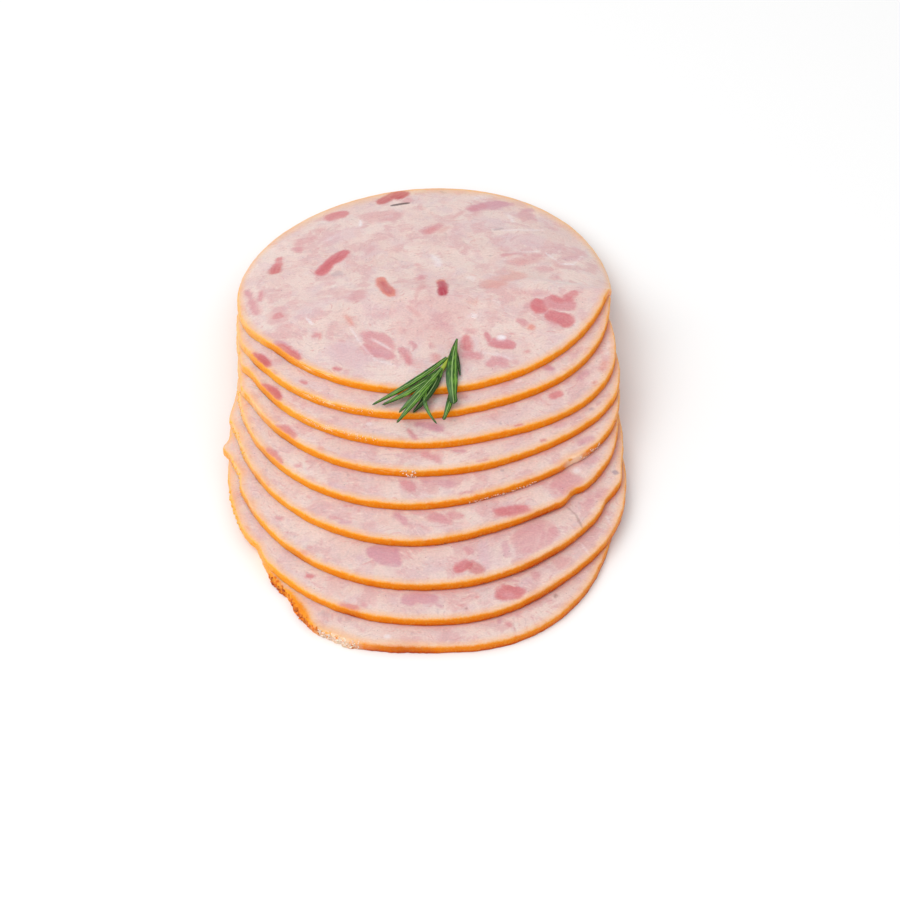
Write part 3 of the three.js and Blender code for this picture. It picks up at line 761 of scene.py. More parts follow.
def solid_mesh(name: str, points: Array, quads: Array, triangles: Array) -> bpy.types.Object:
    """Makes a smooth-shaded object from whole arrays.

    Args:
        name: Name of the object.
        points: Corners in mm, one row each.
        quads: Four corner numbers in each row.
        triangles: Three corner numbers in each row.

    Returns:
        The object, linked to the scene, at the origin.
    """
    mesh = bpy.data.meshes.new(name)
    loops = np.concatenate([quads.ravel(), triangles.ravel()]).astype(np.int32)
    sizes = np.concatenate([np.full(len(quads), 4), np.full(len(triangles), 3)])
    starts = np.concatenate([[0], np.cumsum(sizes)[:-1]]).astype(np.int32)
    mesh.vertices.add(len(points))
    mesh.loops.add(len(loops))
    mesh.polygons.add(len(sizes))
    mesh.vertices.foreach_set("co", (points * MM).astype(np.float32).ravel())
    mesh.loops.foreach_set("vertex_index", loops)
    mesh.polygons.foreach_set("loop_start", starts)
    mesh.polygons.foreach_set("use_smooth", np.full(len(sizes), True))
    mesh.update(calc_edges=True)
    mesh.validate()
    made = bpy.data.objects.new(name, mesh)
    bpy.context.scene.collection.objects.link(made)
    return made


def store(made: bpy.types.Object, name: str, kind: str, values: Array) -> None:
    """Keeps one value for each corner of a mesh as an attribute.

    Args:
        made: Object whose mesh gets the attribute.
        name: Name of the attribute.
        kind: FLOAT, FLOAT_VECTOR or FLOAT_COLOR.
        values: One row for each corner.
    """
    key = {"FLOAT": "value", "FLOAT_VECTOR": "vector", "FLOAT_COLOR": "color"}[kind]
    layer = made.data.attributes.new(name, kind, "POINT")
    layer.data.foreach_set(key, np.asarray(values, dtype=np.float32).ravel())


class Graph:
    """A short way to write a node material."""

    def __init__(self, name: str) -> None:
        """Starts a material with a Principled shader.

        Args:
            name: Name of the material.
        """
        self.material = bpy.data.materials.new(name)
        self.material.use_nodes = True
        self.nodes = self.material.node_tree.nodes
        self.links = self.material.node_tree.links
        self.shader = next(n for n in self.nodes if n.type == "BSDF_PRINCIPLED")

    def put(self, socket: bpy.types.NodeSocket, value: object) -> None:
        """Links a socket to another, or sets its value.

        Args:
            socket: Input to fill.
            value: Output to link, or a number, place or colour.
        """
        if isinstance(value, bpy.types.NodeSocket):
            self.links.new(value, socket)
        elif isinstance(value, tuple) and len(value) == 3 and socket.type == "RGBA":
            socket.default_value = (*value, 1.0)
        else:
            socket.default_value = value

    def attribute(self, name: str) -> bpy.types.Node:
        """Adds a node that reads an attribute of the mesh.

        Args:
            name: Name of the attribute.

        Returns:
            The node.
        """
        node = self.nodes.new("ShaderNodeAttribute")
        node.attribute_name = name
        return node

    def split(self, colour: object) -> tuple[bpy.types.NodeSocket, ...]:
        """Splits a colour into its three channels.

        Args:
            colour: Colour to split.

        Returns:
            Red, green and blue.
        """
        node = self.nodes.new("ShaderNodeSeparateColor")
        self.put(node.inputs[0], colour)
        return tuple(node.outputs)

    def maths(self, operation: str, *values: object, clamp: bool = False) -> bpy.types.NodeSocket:
        """Adds a maths node.

        Args:
            operation: Name of the operation.
            values: Numbers for its inputs, in order.
            clamp: Whether the result stays between 0 and 1.

        Returns:
            The result.
        """
        node = self.nodes.new("ShaderNodeMath")
        node.operation = operation
        node.use_clamp = clamp
        for socket, value in zip(node.inputs, values):
            self.put(socket, value)
        return node.outputs[0]

    def ramp(self, value: object, low: float, high: float) -> bpy.types.NodeSocket:
        """Adds a smooth step: 0 at low, 1 at high.

        Args:
            value: Number that the step is taken at.
            low: Place where the step is 0. It is above high for a step that falls.
            high: Place where the step is 1.

        Returns:
            The step's value.
        """
        node = self.nodes.new("ShaderNodeMapRange")
        node.interpolation_type = "SMOOTHSTEP"
        self.put(node.inputs["Value"], value)
        if low <= high:
            ends = (low, high, 0.0, 1.0)
        else:
            ends = (high, low, 1.0, 0.0)
        names = ("From Min", "From Max", "To Min", "To Max")
        for key, end in zip(names, ends):
            node.inputs[key].default_value = end
        return node.outputs["Result"]

    def mix(self, share: object, first: object, second: object) -> bpy.types.NodeSocket:
        """Mixes two colours.

        Args:
            share: Share of the second colour, from 0 to 1.
            first: First colour.
            second: Second colour.

        Returns:
            The mixed colour.
        """
        node = self.nodes.new("ShaderNodeMix")
        node.data_type = "RGBA"
        self.put(node.inputs[0], share)
        self.put(node.inputs[6], first)
        self.put(node.inputs[7], second)
        return node.outputs[2]

    def layer(
        self, under: object, over: object, value: object, low: float, high: float, share: float
    ) -> bpy.types.NodeSocket:
        """Lays a colour over another where a value goes from low to high.

        Args:
            under: Colour below.
            over: Colour that is laid on it.
            value: Number that says where.
            low: Value where none of it shows.
            high: Value where it shows most.
            share: How much of it shows there, from 0 to 1.

        Returns:
            The mixed colour.
        """
        step = self.maths("MULTIPLY", self.ramp(value, low, high), share)
        return self.mix(step, under, over)

    def tint(self, colour: object, factor: object) -> bpy.types.NodeSocket:
        """Multiplies a colour by a number.

        Args:
            colour: Colour to change.
            factor: Number for all its channels.

        Returns:
            The changed colour.
        """
        node = self.nodes.new("ShaderNodeVectorMath")
        node.operation = "SCALE"
        self.put(node.inputs[0], colour)
        self.put(node.inputs["Scale"], factor)
        return node.outputs[0]

    def stretch(self, vector: object, scale: tuple[float, float, float]) -> bpy.types.NodeSocket:
        """Multiplies a place by three numbers.

        Args:
            vector: Place.
            scale: Factors along x, y and z.

        Returns:
            The stretched place.
        """
        node = self.nodes.new("ShaderNodeVectorMath")
        node.operation = "MULTIPLY"
        self.put(node.inputs[0], vector)
        self.put(node.inputs[1], scale)
        return node.outputs[0]

    def shift(self, vector: object, other: object, amount: float) -> bpy.types.NodeSocket:
        """Moves a place by a colour, taken from its middle value.

        Args:
            vector: Place to move.
            other: Colour whose channels give the way.
            amount: Length of the move for a whole unit of colour.

        Returns:
            The moved place.
        """
        centred = self.nodes.new("ShaderNodeVectorMath")
        centred.operation = "SUBTRACT"
        self.put(centred.inputs[0], other)
        self.put(centred.inputs[1], (0.5, 0.5, 0.5))
        node = self.nodes.new("ShaderNodeVectorMath")
        node.operation = "MULTIPLY_ADD"
        self.put(node.inputs[0], centred.outputs[0])
        self.put(node.inputs[1], (amount, amount, amount))
        self.put(node.inputs[2], vector)
        return node.outputs[0]

    def noise(self, vector: object, scale: float, detail: float = 2.0) -> bpy.types.Node:
        """Adds a noise texture.

        Args:
            vector: Place.
            scale: Waves for each unit of the place.
            detail: Number of finer waves on top.

        Returns:
            The texture's node.
        """
        node = self.nodes.new("ShaderNodeTexNoise")
        self.put(node.inputs["Vector"], vector)
        node.inputs["Scale"].default_value = scale
        node.inputs["Detail"].default_value = detail
        return node

    def cells(self, vector: object, scale: float) -> bpy.types.Node:
        """Adds a texture of cells.

        Args:
            vector: Place.
            scale: Cells for each unit of the place.

        Returns:
            The texture's node.
        """
        node = self.nodes.new("ShaderNodeTexVoronoi")
        self.put(node.inputs["Vector"], vector)
        node.inputs["Scale"].default_value = scale
        return node

    def bump(
        self, height: object, strength: float, distance: float, under: object = None
    ) -> bpy.types.NodeSocket:
        """Adds a bump.

        Args:
            height: Relief, from 0 to 1.
            strength: How much of it shows.
            distance: Height of the relief in metres.
            under: Normal of a bump that it lies on.

        Returns:
            The bent normal.
        """
        node = self.nodes.new("ShaderNodeBump")
        node.inputs["Strength"].default_value = strength
        node.inputs["Distance"].default_value = distance
        self.put(node.inputs["Height"], height)
        if under is not None:
            self.put(node.inputs["Normal"], under)
        return node.outputs[0]

    def set(self, **values: object) -> None:
        """Sets inputs of the shader.

        Args:
            values: Values by the inputs' names, with underscores for spaces.
        """
        for key, value in values.items():
            title = key.replace("_", " ").title().replace("Ior", "IOR")
            self.put(self.shader.inputs[title], value)


@dataclass(frozen=True)
class MeatFinish:
    """Moist pressed ham with its smoked rind, read from the attributes of a slice.

    Attributes:
        paste: Colour of the paste.
        paste_light: Colour of its paler parts.
        paste_pink: Colour of its pinker parts.
        paste_lilac: Colour of its clear, bluish parts.
        shade: Colour of its darker wisps.
        blush: Colour of its reddest wisps.
        pit_shade: Colour of the painted shade in the small pits.
        fat: Colour of the thin lines of fat.
        rind: Colour of the rind's middle.
        rind_light: Colour of the rind's upper edge.
        rind_cream: Colour of the soft border on the cut face.
        rind_dark: Colour of the rind's mottles and lower edge; the edge is partly painted contact
            shade.
        rind_pale: Colour of torn rind.
        rind_burnt_and_shade: Colour of burnt spots, and of painted shade at the foot and right front.
        rind_gold: Colour of the brightest rind.
        painted_glint: Colour of the whitish streaks along the rind, painted as its glossy highlights.
        painted_warm_shade: Colour painted as warm shade and orange bounce light by the rim above.
        gain: Factor from the meat's colour on the screen to the surface's own colour.
    """

    paste: Colour = linear(230, 200, 193)
    paste_light: Colour = linear(237, 215, 207)
    paste_pink: Colour = linear(222, 178, 178)
    paste_lilac: Colour = linear(220, 188, 193)
    shade: Colour = linear(196, 164, 168)
    blush: Colour = linear(216, 150, 150)
    pit_shade: Colour = linear(150, 128, 132)
    fat: Colour = linear(242, 230, 230)
    rind: Colour = linear(240, 142, 8)
    rind_light: Colour = linear(236, 168, 72)
    rind_cream: Colour = linear(246, 190, 128)
    rind_dark: Colour = linear(226, 108, 8)
    rind_pale: Colour = linear(240, 208, 180)
    rind_burnt_and_shade: Colour = linear(172, 62, 10)
    rind_gold: Colour = linear(242, 168, 56)
    painted_glint: Colour = linear(255, 232, 190)
    painted_warm_shade: Colour = (0.95, 0.42, 0.36)
    gain: float = 0.84

    def meat(self, graph: Graph, log: bpy.types.NodeSocket) -> bpy.types.NodeSocket:
        """Builds the colour of the cut face.

        Soft clouds of two tints lie under fine wisps that follow a swirl, with specks on top.

        Args:
            graph: Material to build in.
            log: Places in the ham, in mm.

        Returns:
            The colour.
        """
        wander = graph.noise(log, 0.2, 3.0)
        bent = graph.shift(log, wander.outputs["Color"], 7.0)
        broad = graph.noise(bent, 0.04, 2.0).outputs["Fac"]
        colour = graph.mix(graph.ramp(broad, 0.3, 0.7), self.paste_light, self.paste)
        cloud = graph.split(graph.noise(bent, 0.11, 3.0).outputs["Color"])
        colour = graph.layer(colour, self.paste_lilac, cloud[0], low=0.47, high=0.63, share=0.48)
        colour = graph.layer(colour, self.paste_pink, cloud[1], low=0.51, high=0.65, share=0.75)
        swirl = graph.shift(log, graph.noise(log, 0.03, 2.0).outputs["Color"], 60.0)
        swirl = graph.shift(swirl, wander.outputs["Color"], 2.0)
        strand = graph.noise(graph.stretch(swirl, (0.16, 0.75, 0.5)), 1.0, 3.0)
        wisps = graph.split(strand.outputs["Color"])
        colour = graph.layer(colour, self.paste_light, wisps[0], low=0.54, high=0.7, share=0.7)
        colour = graph.layer(colour, self.shade, wisps[1], low=0.56, high=0.74, share=0.4)
        colour = graph.layer(colour, self.blush, wisps[2], low=0.58, high=0.72, share=0.5)
        ridge = graph.noise(graph.stretch(swirl, (0.07, 0.3, 0.3)), 1.0, 3.0).outputs["Fac"]
        ridge = graph.maths("ABSOLUTE", graph.maths("SUBTRACT", ridge, 0.5))
        gate = graph.ramp(graph.noise(log, 0.13, 1.0).outputs["Fac"], 0.48, 0.66)
        streak = graph.maths("MULTIPLY", graph.ramp(ridge, 0.03, 0.004), gate)
        return graph.mix(graph.maths("MULTIPLY", streak, 0.22), colour, self.fat)

    def chunks(
        self, graph: Graph, log: bpy.types.NodeSocket, under: bpy.types.NodeSocket
    ) -> tuple[bpy.types.NodeSocket, bpy.types.NodeSocket]:
        """Lays the chunks over the paste, with fine fibres along each.

        Args:
            graph: Material to build in.
            log: Places in the ham, in mm.
            under: Colour of the paste.

        Returns:
            The colour, and the share of the chunks.
        """
        reach = graph.attribute("chunk").outputs["Fac"]
        tone = graph.attribute("chunk_tone")
        edge = graph.noise(log, 0.9, 3.0).outputs["Fac"]
        wobble = graph.maths("MULTIPLY_ADD", edge, 1.2, -0.6)
        inside = graph.ramp(graph.maths("ADD", reach, wobble), -0.8, 0.8)
        grain = graph.attribute("grain").outputs["Vector"]
        fibre = graph.noise(graph.stretch(grain, (0.16, 1.1, 1.0)), 1.0, 3.0).outputs["Fac"]
        veins = graph.ramp(fibre, 0.36, 0.7)
        body = graph.mix(graph.maths("MULTIPLY", veins, 0.14), tone.outputs["Color"], under)
        depth = graph.maths("MULTIPLY_ADD", graph.ramp(reach, 0.0, 1.6), 0.2, 0.8)
        share = graph.maths("MULTIPLY", graph.maths("MULTIPLY", inside, depth), tone.outputs["Alpha"])
        return graph.mix(share, under, body), share

    def rim(
        self,
        graph: Graph,
        log: bpy.types.NodeSocket,
        under: bpy.types.NodeSocket,
        chunk: bpy.types.NodeSocket,
    ) -> tuple[bpy.types.NodeSocket, bpy.types.NodeSocket]:
        """Lays the rind over the meat by the distance in from the rim.

        Args:
            graph: Material to build in.
            log: Places in the ham, in mm.
            under: Colour of the meat.
            chunk: Share of the chunks, which keep their colour under the soft border.

        Returns:
            The colour, and the share of rind.
        """
        inset = graph.attribute("inset").outputs["Fac"]
        about = graph.attribute("rind_look")
        pale, dark, wrap = graph.split(about.outputs["Color"])
        slow = graph.noise(log, 0.07, 2.0).outputs["Fac"]
        wave = graph.noise(log, 0.35, 3.0).outputs["Fac"]
        fine = graph.noise(log, 1.4, 3.0).outputs["Fac"]
        waver = graph.maths("MULTIPLY_ADD", wave, 1.1, -0.55)
        waver = graph.maths("ADD", waver, graph.maths("MULTIPLY_ADD", fine, 1.2, -0.6))
        waver = graph.maths("ADD", waver, graph.maths("MULTIPLY_ADD", slow, 1.4, -0.7))
        place = graph.maths("ADD", inset, waver)
        place = graph.maths("SUBTRACT", place, graph.attribute("rind_wide").outputs["Fac"])
        reach = graph.maths("DIVIDE", place, graph.maths("MULTIPLY_ADD", wrap, 4.0, 1.0))
        cream = graph.ramp(reach, 2.5, 0.1)
        cream = graph.maths("MULTIPLY", cream, graph.maths("MULTIPLY_ADD", chunk, -0.5, 0.65))
        colour = graph.mix(cream, under, self.rind_cream)
        rind = graph.ramp(reach, 0.7, -0.35)
        gold = graph.mix(graph.ramp(place, 0.2, -1.2), self.rind_light, self.rind)
        # The rind's lower edge darkens: partly its own smoked skin, partly painted contact shade.
        lower = graph.maths("MULTIPLY_ADD", dark, 1.6, 0.3, clamp=True)
        lower = graph.maths("MULTIPLY", lower, graph.ramp(place, -1.4, -2.8))
        gold = graph.mix(lower, gold, self.rind_dark)
        mottle = graph.noise(log, 0.22, 3.0).outputs["Fac"]
        gold = graph.layer(gold, self.rind_dark, mottle, low=0.5, high=0.72, share=0.3)
        blotch = graph.noise(log, 1.1, 3.0).outputs["Fac"]
        gold = graph.layer(gold, self.rind_light, blotch, low=0.52, high=0.64, share=0.45)
        # Darker patches: the rind's own burnt spots, and painted shade at the right front.
        gold = graph.mix(graph.maths("MULTIPLY", dark, 0.8), gold, self.rind_burnt_and_shade)
        bright = graph.maths("MULTIPLY", graph.attribute("rind_gold").outputs["Fac"], 0.9)
        gold = graph.mix(bright, gold, self.rind_gold)
        # Painted contact shade along the very foot of the rim, weaker where the rind is golden.
        deep = graph.maths("MULTIPLY_ADD", dark, 2.0, 0.02)
        deep = graph.maths("MULTIPLY_ADD", bright, -0.6, deep, clamp=True)
        foot = graph.maths("MULTIPLY", graph.ramp(place, -2.5, -3.5), deep)
        gold = graph.mix(foot, gold, self.rind_burnt_and_shade)
        # Whitish streaks along the upper rind where the patches ask for them: a painted glossy
        # highlight.
        along = graph.nodes.new("ShaderNodeCombineXYZ")
        run = graph.attribute("rim_run").outputs["Fac"]
        graph.put(along.inputs[0], graph.maths("MULTIPLY", run, 0.22))
        graph.put(along.inputs[1], graph.maths("MULTIPLY", inset, 2.4))
        thread = graph.noise(along.outputs[0], 1.0, 3.0).outputs["Fac"]
        painted_glint = graph.maths("MULTIPLY", graph.ramp(thread, 0.5, 0.64), about.outputs["Alpha"])
        painted_glint = graph.maths("MULTIPLY", painted_glint, graph.ramp(inset, -2.4, -1.2))
        gold = graph.mix(graph.maths("MULTIPLY", painted_glint, 0.75), gold, self.painted_glint)
        torn = graph.maths("MULTIPLY", pale, graph.ramp(wave, 0.68, 0.5))
        gold = graph.mix(graph.maths("MULTIPLY", torn, 0.9), gold, self.rind_pale)
        colour = graph.tint(colour, self.gain)
        return graph.mix(rind, colour, gold), rind

    def build(self, edge: bool) -> bpy.types.Material:
        """Makes the material of the cut face or of the rim.

        Args:
            edge: Whether it is the rim's, which is glossier and lets in less light.

        Returns:
            The finished material.
        """
        graph = Graph("ham_rind" if edge else "ham_meat")
        log = graph.attribute("log").outputs["Vector"]
        colour, chunk = self.chunks(graph, log, self.meat(graph, log))
        speck = graph.noise(log, 1.3, 3.0).outputs["Fac"]
        colour = graph.tint(colour, graph.maths("MULTIPLY_ADD", speck, 0.36, 0.82))
        # Small pits, darkened with painted shade; the same pits dent the bump below.
        pores = graph.cells(log, 0.42)
        choice = graph.split(pores.outputs["Color"])[0]
        hole = graph.ramp(pores.outputs["Distance"], 0.13, 0.07)
        hole = graph.maths("MULTIPLY", hole, graph.ramp(choice, 0.8, 0.84))
        colour = graph.mix(graph.maths("MULTIPLY", hole, 0.6), colour, self.pit_shade)
        # Painted warm shade and orange bounce light on the cut face along the rim of the slice above.
        near = graph.maths("MULTIPLY", graph.attribute("under_rim_shade").outputs["Fac"], 0.65)
        colour = graph.mix(near, colour, self.painted_warm_shade)
        colour, rind = self.rim(graph, log, colour, chunk)
        relief = graph.noise(log, 1.1, 4.0).outputs["Fac"]
        relief = graph.maths("MULTIPLY_ADD", hole, -1.2, relief)
        normal = graph.bump(relief, 0.35, 0.00025)
        grit = graph.maths("MULTIPLY", graph.noise(log, 2.6, 3.0).outputs["Fac"], rind)
        normal = graph.bump(grit, 0.5, 0.0003, normal)
        wet = graph.noise(log, 0.3, 3.0).outputs["Fac"]
        if edge:
            rough = graph.maths("MULTIPLY_ADD", wet, 0.24, 0.2)
            graph.set(subsurface_weight=0.3, specular_ior_level=0.08)
        else:
            rough = graph.maths("MULTIPLY_ADD", wet, 0.3, 0.26)
            graph.set(subsurface_weight=0.65, specular_ior_level=0.3)
        graph.set(base_color=colour, roughness=rough, normal=normal)
        graph.set(subsurface_scale=0.0035, subsurface_radius=(1.0, 0.35, 0.3))
        return graph.material


class SliceBuilder:
    """Makes one slice as a closed mesh with its attributes."""

    CORNER = 0.95
    FOOT = 0.22
    VISIBLE = 24.0
    RIND_EDGE = 1.9
    BLOCKY = 2.6
    SWELL = 1.12
    LEVELS = 133
    RADIUS = 75.0
    SEED = 101
    FINE_RINGS = (0.0, 0.25, 0.55, 0.9, 1.3, 1.75)
    EVEN_START = 0.5
    EVEN_STEP = 0.52
    INNER_REACH = 41.0
    INNER_RINGS = 10
    UNDER_RINGS = (1.2, 4.0, 10.0, 20.0, 34.0, 50.0, 64.0)
    PAST_MIDDLE = 200.0
    COLUMNS = 760
    CROWDING = 2.2
    ALL_RIMS = (RindPatch(212, 26, gold=0.6), RindPatch(140, 34, pale=0.55))
    SIDE_SHADE = 0.04
    SIDE_SHADE_ANGLE = 310.0
    RIM_DEPTH = 1.6
    SHELTER_LEFT = 0.15
    SHELTER_START = 60.0
    SHELTER_RUN = 70.0
    BEND_WAVES = (5.0, 2.2)
    WIDEST_BEND = 7.0
    TINY = 1e-6
    CHUNK_APART = 7.0
    SMALL_CHUNKS = 90
    SMALL_REACH = 72.0
    SMALL_SEED = 500
    SMALL_TONES = (Tone.BLUSH, Tone.LILAC, Tone.PINK, Tone.CREAM, Tone.BLUSH)

    def __init__(self, stack: Stack, index: int) -> None:
        """Prepares a slice.

        Args:
            stack: The fan of slices.
            index: Place of the slice in the stack, 0 for the topmost.
        """
        self.stack = stack
        self.index = index
        self.form = stack.slices[index]
        self.top = index == 0
        self.noise = Noise(self.SEED + index)

    def face_rings(self) -> Array:
        """Places the rings on the cut face.

        They are close together at the rim, even over what shows, and wide apart under the
        slice above.

        Returns:
            Distances in from the rim in mm, rim first.
        """
        fine = self.CORNER + np.array(self.FINE_RINGS)
        if self.top:
            return fine
        even = np.arange(fine[-1] + self.EVEN_START, self.VISIBLE, self.EVEN_STEP)
        inner = self.VISIBLE + self.INNER_REACH * np.linspace(0.02, 1.0, self.INNER_RINGS) ** 1.2
        return np.concatenate([fine, even, inner])

    def columns(self) -> Array:
        """Places the grid's columns.

        The topmost slice has them evenly. On the others their number for each degree goes from
        1 at the back to 1 plus the crowding along the front, eased between.

        Returns:
            Directions in radians.
        """
        if self.top:
            around = 8 * self.LEVELS
            return (np.arange(around) - self.LEVELS) * 2 * np.pi / around
        turn = np.radians(np.linspace(0.0, 360.0, 2001))
        weight = 1.0 + self.CROWDING * ease((0.25 - np.sin(turn)) / 0.35)
        total = np.concatenate([[0.0], np.cumsum((weight[1:] + weight[:-1]) / 2)])
        return np.interp(np.arange(self.COLUMNS) / self.COLUMNS * total[-1], total, turn)

    def side_rows(self) -> tuple[Array, Array]:
        """Lists the rim's profile from the cut face down to the underside.

        It is a quarter circle at the top, a flat bulge and a smaller quarter circle below.

        Returns:
            Distances in from the rim and heights over the underside, in mm.
        """
        thick = self.stack.THICKNESS
        upper = np.radians(np.linspace(90.0, 0.0, 7)[1:])
        inset = self.CORNER - self.CORNER * np.cos(upper)
        height = thick - self.CORNER + self.CORNER * np.sin(upper)
        middle = np.linspace(thick - self.CORNER, self.FOOT, 4)[1:-1]
        lower = np.radians(np.linspace(0.0, -90.0, 5))
        inset = np.concatenate([inset, np.zeros(len(middle)), self.FOOT * (1 - np.cos(lower))])
        height = np.concatenate([height, middle, self.FOOT * (1 + np.sin(lower))])
        return inset, height

    def rim_look(self, angle: Array) -> dict[str, Array]:
        """Lays the rim's patches over each other, the strongest on top.

        Painted shade darkens the rind towards the right front, more so on each lower slice.

        Args:
            angle: Directions in radians.

        Returns:
            Paleness, darkness with its painted shade, fray in mm, painted shine, gold, extra width
            in mm and width of the soft border, for each direction.
        """
        keys = ("pale", "dark", "fray", "painted_shine", "gold", "wide")
        look = {key: np.zeros_like(angle) for key in keys}
        for patch in (*self.form.patches, *self.ALL_RIMS):
            bell = self.stack.bell(angle, patch.angle, patch.half_width)
            for key, value in look.items():
                np.maximum(value, getattr(patch, key) * bell, out=value)
        # Painted shade on the rind towards the right front, away from the lamp.
        side_shade = self.SIDE_SHADE + self.SIDE_SHADE * self.index
        right = side_shade * ease(np.cos(angle - np.radians(self.SIDE_SHADE_ANGLE)))
        look["dark"] = np.maximum(look["dark"], right)
        look["wrap"] = 0.12 + 0.5 * ease((np.sin(angle) - 0.1) / 0.9) + 0.14 * look["pale"]
        look["wrap"] += 0.3 * np.clip(look["dark"] - 0.4, 0.0, None)
        return look

    def place(self, angle: Array, inset: Array, height: Array) -> tuple[Array, Array]:
        """Puts points of the slice where they lie in the stack.

        A point lies at the radius less its inset, plus the rim's own unevenness, and at the
        underside's height plus its own, plus the lifted edge.

        Args:
            angle: Directions in radians.
            inset: Distances in from the rim in mm.
            height: Heights over the underside in mm.

        Returns:
            Points in mm, and the same points from the slice's middle with the depth in the ham.
        """
        fray = self.rim_look(angle)["fray"]
        near = np.exp(-inset / self.RIM_DEPTH)
        rim_x, rim_y = np.cos(angle) * self.RADIUS, np.sin(angle) * self.RADIUS
        uneven = 0.18 * self.noise.at(rim_x, rim_y, height, 4.5)
        uneven = uneven + 0.1 * self.noise.at(rim_x, rim_y, height + 20.0, 1.6)
        torn = self.noise.at(rim_x, rim_y, height * 1.5 + 40.0, 1.1)
        torn = torn + 0.7 * self.noise.at(rim_x, rim_y, height * 1.5 + 60.0, 2.3)
        radius = self.stack.radius(self.index, angle) - inset + (uneven + 0.5 * fray * torn) * near
        radius = np.maximum(radius, 0.0)
        local_x, local_y = radius * np.cos(angle), radius * np.sin(angle)
        x, y = local_x + self.form.x, local_y + self.form.y
        base = self.stack.underside(self.index, x, y)
        own = height / self.stack.THICKNESS
        grow = 0.5 * fray * near * np.abs(self.noise.at(rim_x, rim_y, 80.0, 1.5)) * own
        fade = 0.04 * self.noise.at(local_x, local_y, 5.0, 3.2) * own
        z = base + height + fade + grow + self.stack.lift(self.index, angle, inset)
        depth = self.index * self.stack.LAYER + self.stack.THICKNESS - height
        points = np.stack([x, y, np.maximum(z, 0.02 * own)], axis=-1)
        return points, np.stack([local_x, local_y, -depth], axis=-1)

    def under_rim_shade(self, points: Array) -> Array:
        """Tells how near the cut face is to the rim of the slice that lies on it.

        It is exp(−(distance / 1.0)²) outside the upper slice's outline and 1 under it, times a
        share that eases from 0.15 at the left to 1 at the right. It marks where painted warm shade
        and orange bounce light fall on the cut face beside that rim.

        Args:
            points: Corners of the slice in mm.

        Returns:
            Nearness from 0 to 1 for each corner.
        """
        if self.top:
            return np.zeros(len(points))
        upper = self.stack.slices[self.index - 1]
        dx, dy = points[:, 0] - upper.x, points[:, 1] - upper.y
        beyond = np.hypot(dx, dy) - self.stack.radius(self.index - 1, np.arctan2(dy, dx))
        run = ease((points[:, 0] + self.SHELTER_START) / self.SHELTER_RUN)
        share = self.SHELTER_LEFT + (1.0 - self.SHELTER_LEFT) * run
        return share * np.exp(-(np.clip(beyond, 0.0, None) ** 2))

    def chunk_values(self, log: Array) -> tuple[Array, Array, Array]:
        """Works out which chunk each point is in or nearest to.

        The distance to a chunk's edge is 1 − q over the slope of q, after the place is bent by
        noise. With a and b the place in parts of the half axes and n the blockiness, q is
        (|a|ⁿ + |b|ⁿ) to the power 1/n. Divided by the edge's softness, the greatest wins.

        Args:
            log: Places in the ham in mm.

        Returns:
            Distance inside in edge widths, colour with strength, and place along the chunk.
        """
        count = len(log)
        reach = np.full(count, -3.0)
        tone = np.zeros((count, 4))
        grain = np.zeros((count, 3))
        x, y = log[:, 0], log[:, 1]
        broad, fine = self.BEND_WAVES
        bend_x = self.noise.at(x, y, 10.0, broad) + 0.6 * self.noise.at(x, y, 20.0, fine)
        bend_y = self.noise.at(x, y, 30.0, broad) + 0.6 * self.noise.at(x, y, 40.0, fine)
        for number, chunk in enumerate(self.chunk_list()):
            bend = chunk.ragged * min(chunk.wide, self.WIDEST_BEND) * 0.7
            dx, dy = x - chunk.x + bend * bend_x, y - chunk.y + bend * bend_y
            turn = math.radians(chunk.turn)
            along = dx * math.cos(turn) + dy * math.sin(turn)
            across = dy * math.cos(turn) - dx * math.sin(turn)
            half_long, half_wide = chunk.long / 2, chunk.wide / 2 * self.SWELL
            a, b = np.abs(along) / half_long, np.abs(across) / half_wide
            power = self.BLOCKY
            q = (a**power + b**power) ** (1.0 / power) + self.TINY
            lengthwise = (a / q) ** (power - 1.0) / half_long
            sideways = (b / q) ** (power - 1.0) / half_wide
            slope = np.hypot(lengthwise, sideways) + self.TINY
            inside = np.clip((1.0 - q) / slope, -6.0, half_wide) / chunk.soft
            level = np.array([*linear(*chunk.tone.value), chunk.strength])
            nearest = (inside > reach) & (reach <= 0.0)
            tone[nearest] = level
            over = np.where(reach > 0.0, ease(inside * 0.5 + 0.5), 0.0) * chunk.strength
            tone[:, :3] += (level[:3] - tone[:, :3]) * over[:, None]
            tone[:, 3] = np.maximum(tone[:, 3], over)
            lead = nearest | ((reach > 0.0) & (inside > 0.0))
            apart = np.full(count, self.CHUNK_APART * number)
            grain[lead] = np.stack([along, across, apart], -1)[lead]
            reach = np.maximum(reach, inside)
        return reach, tone, grain

    def chunk_list(self) -> list[Chunk]:
        """Lists the slice's chunks, small seeded ones first so the placed ones lie over them.

        Returns:
            The chunks.
        """
        rng = np.random.default_rng(self.SMALL_SEED + self.index)
        small = []
        for _ in range(self.SMALL_CHUNKS):
            angle = rng.uniform(0, 2 * np.pi)
            out = self.SMALL_REACH * math.sqrt(rng.uniform(0, 1))
            small.append(
                Chunk(
                    x=out * math.cos(angle),
                    y=out * math.sin(angle),
                    long=rng.uniform(2.5, 8.0),
                    wide=rng.uniform(1.6, 4.0),
                    turn=rng.uniform(0, 180),
                    tone=self.SMALL_TONES[int(rng.integers(len(self.SMALL_TONES)))],
                    strength=rng.uniform(0.15, 0.45),
                    soft=rng.uniform(1.0, 1.8),
                )
            )
        return small + list(CHUNKS[self.form.name])

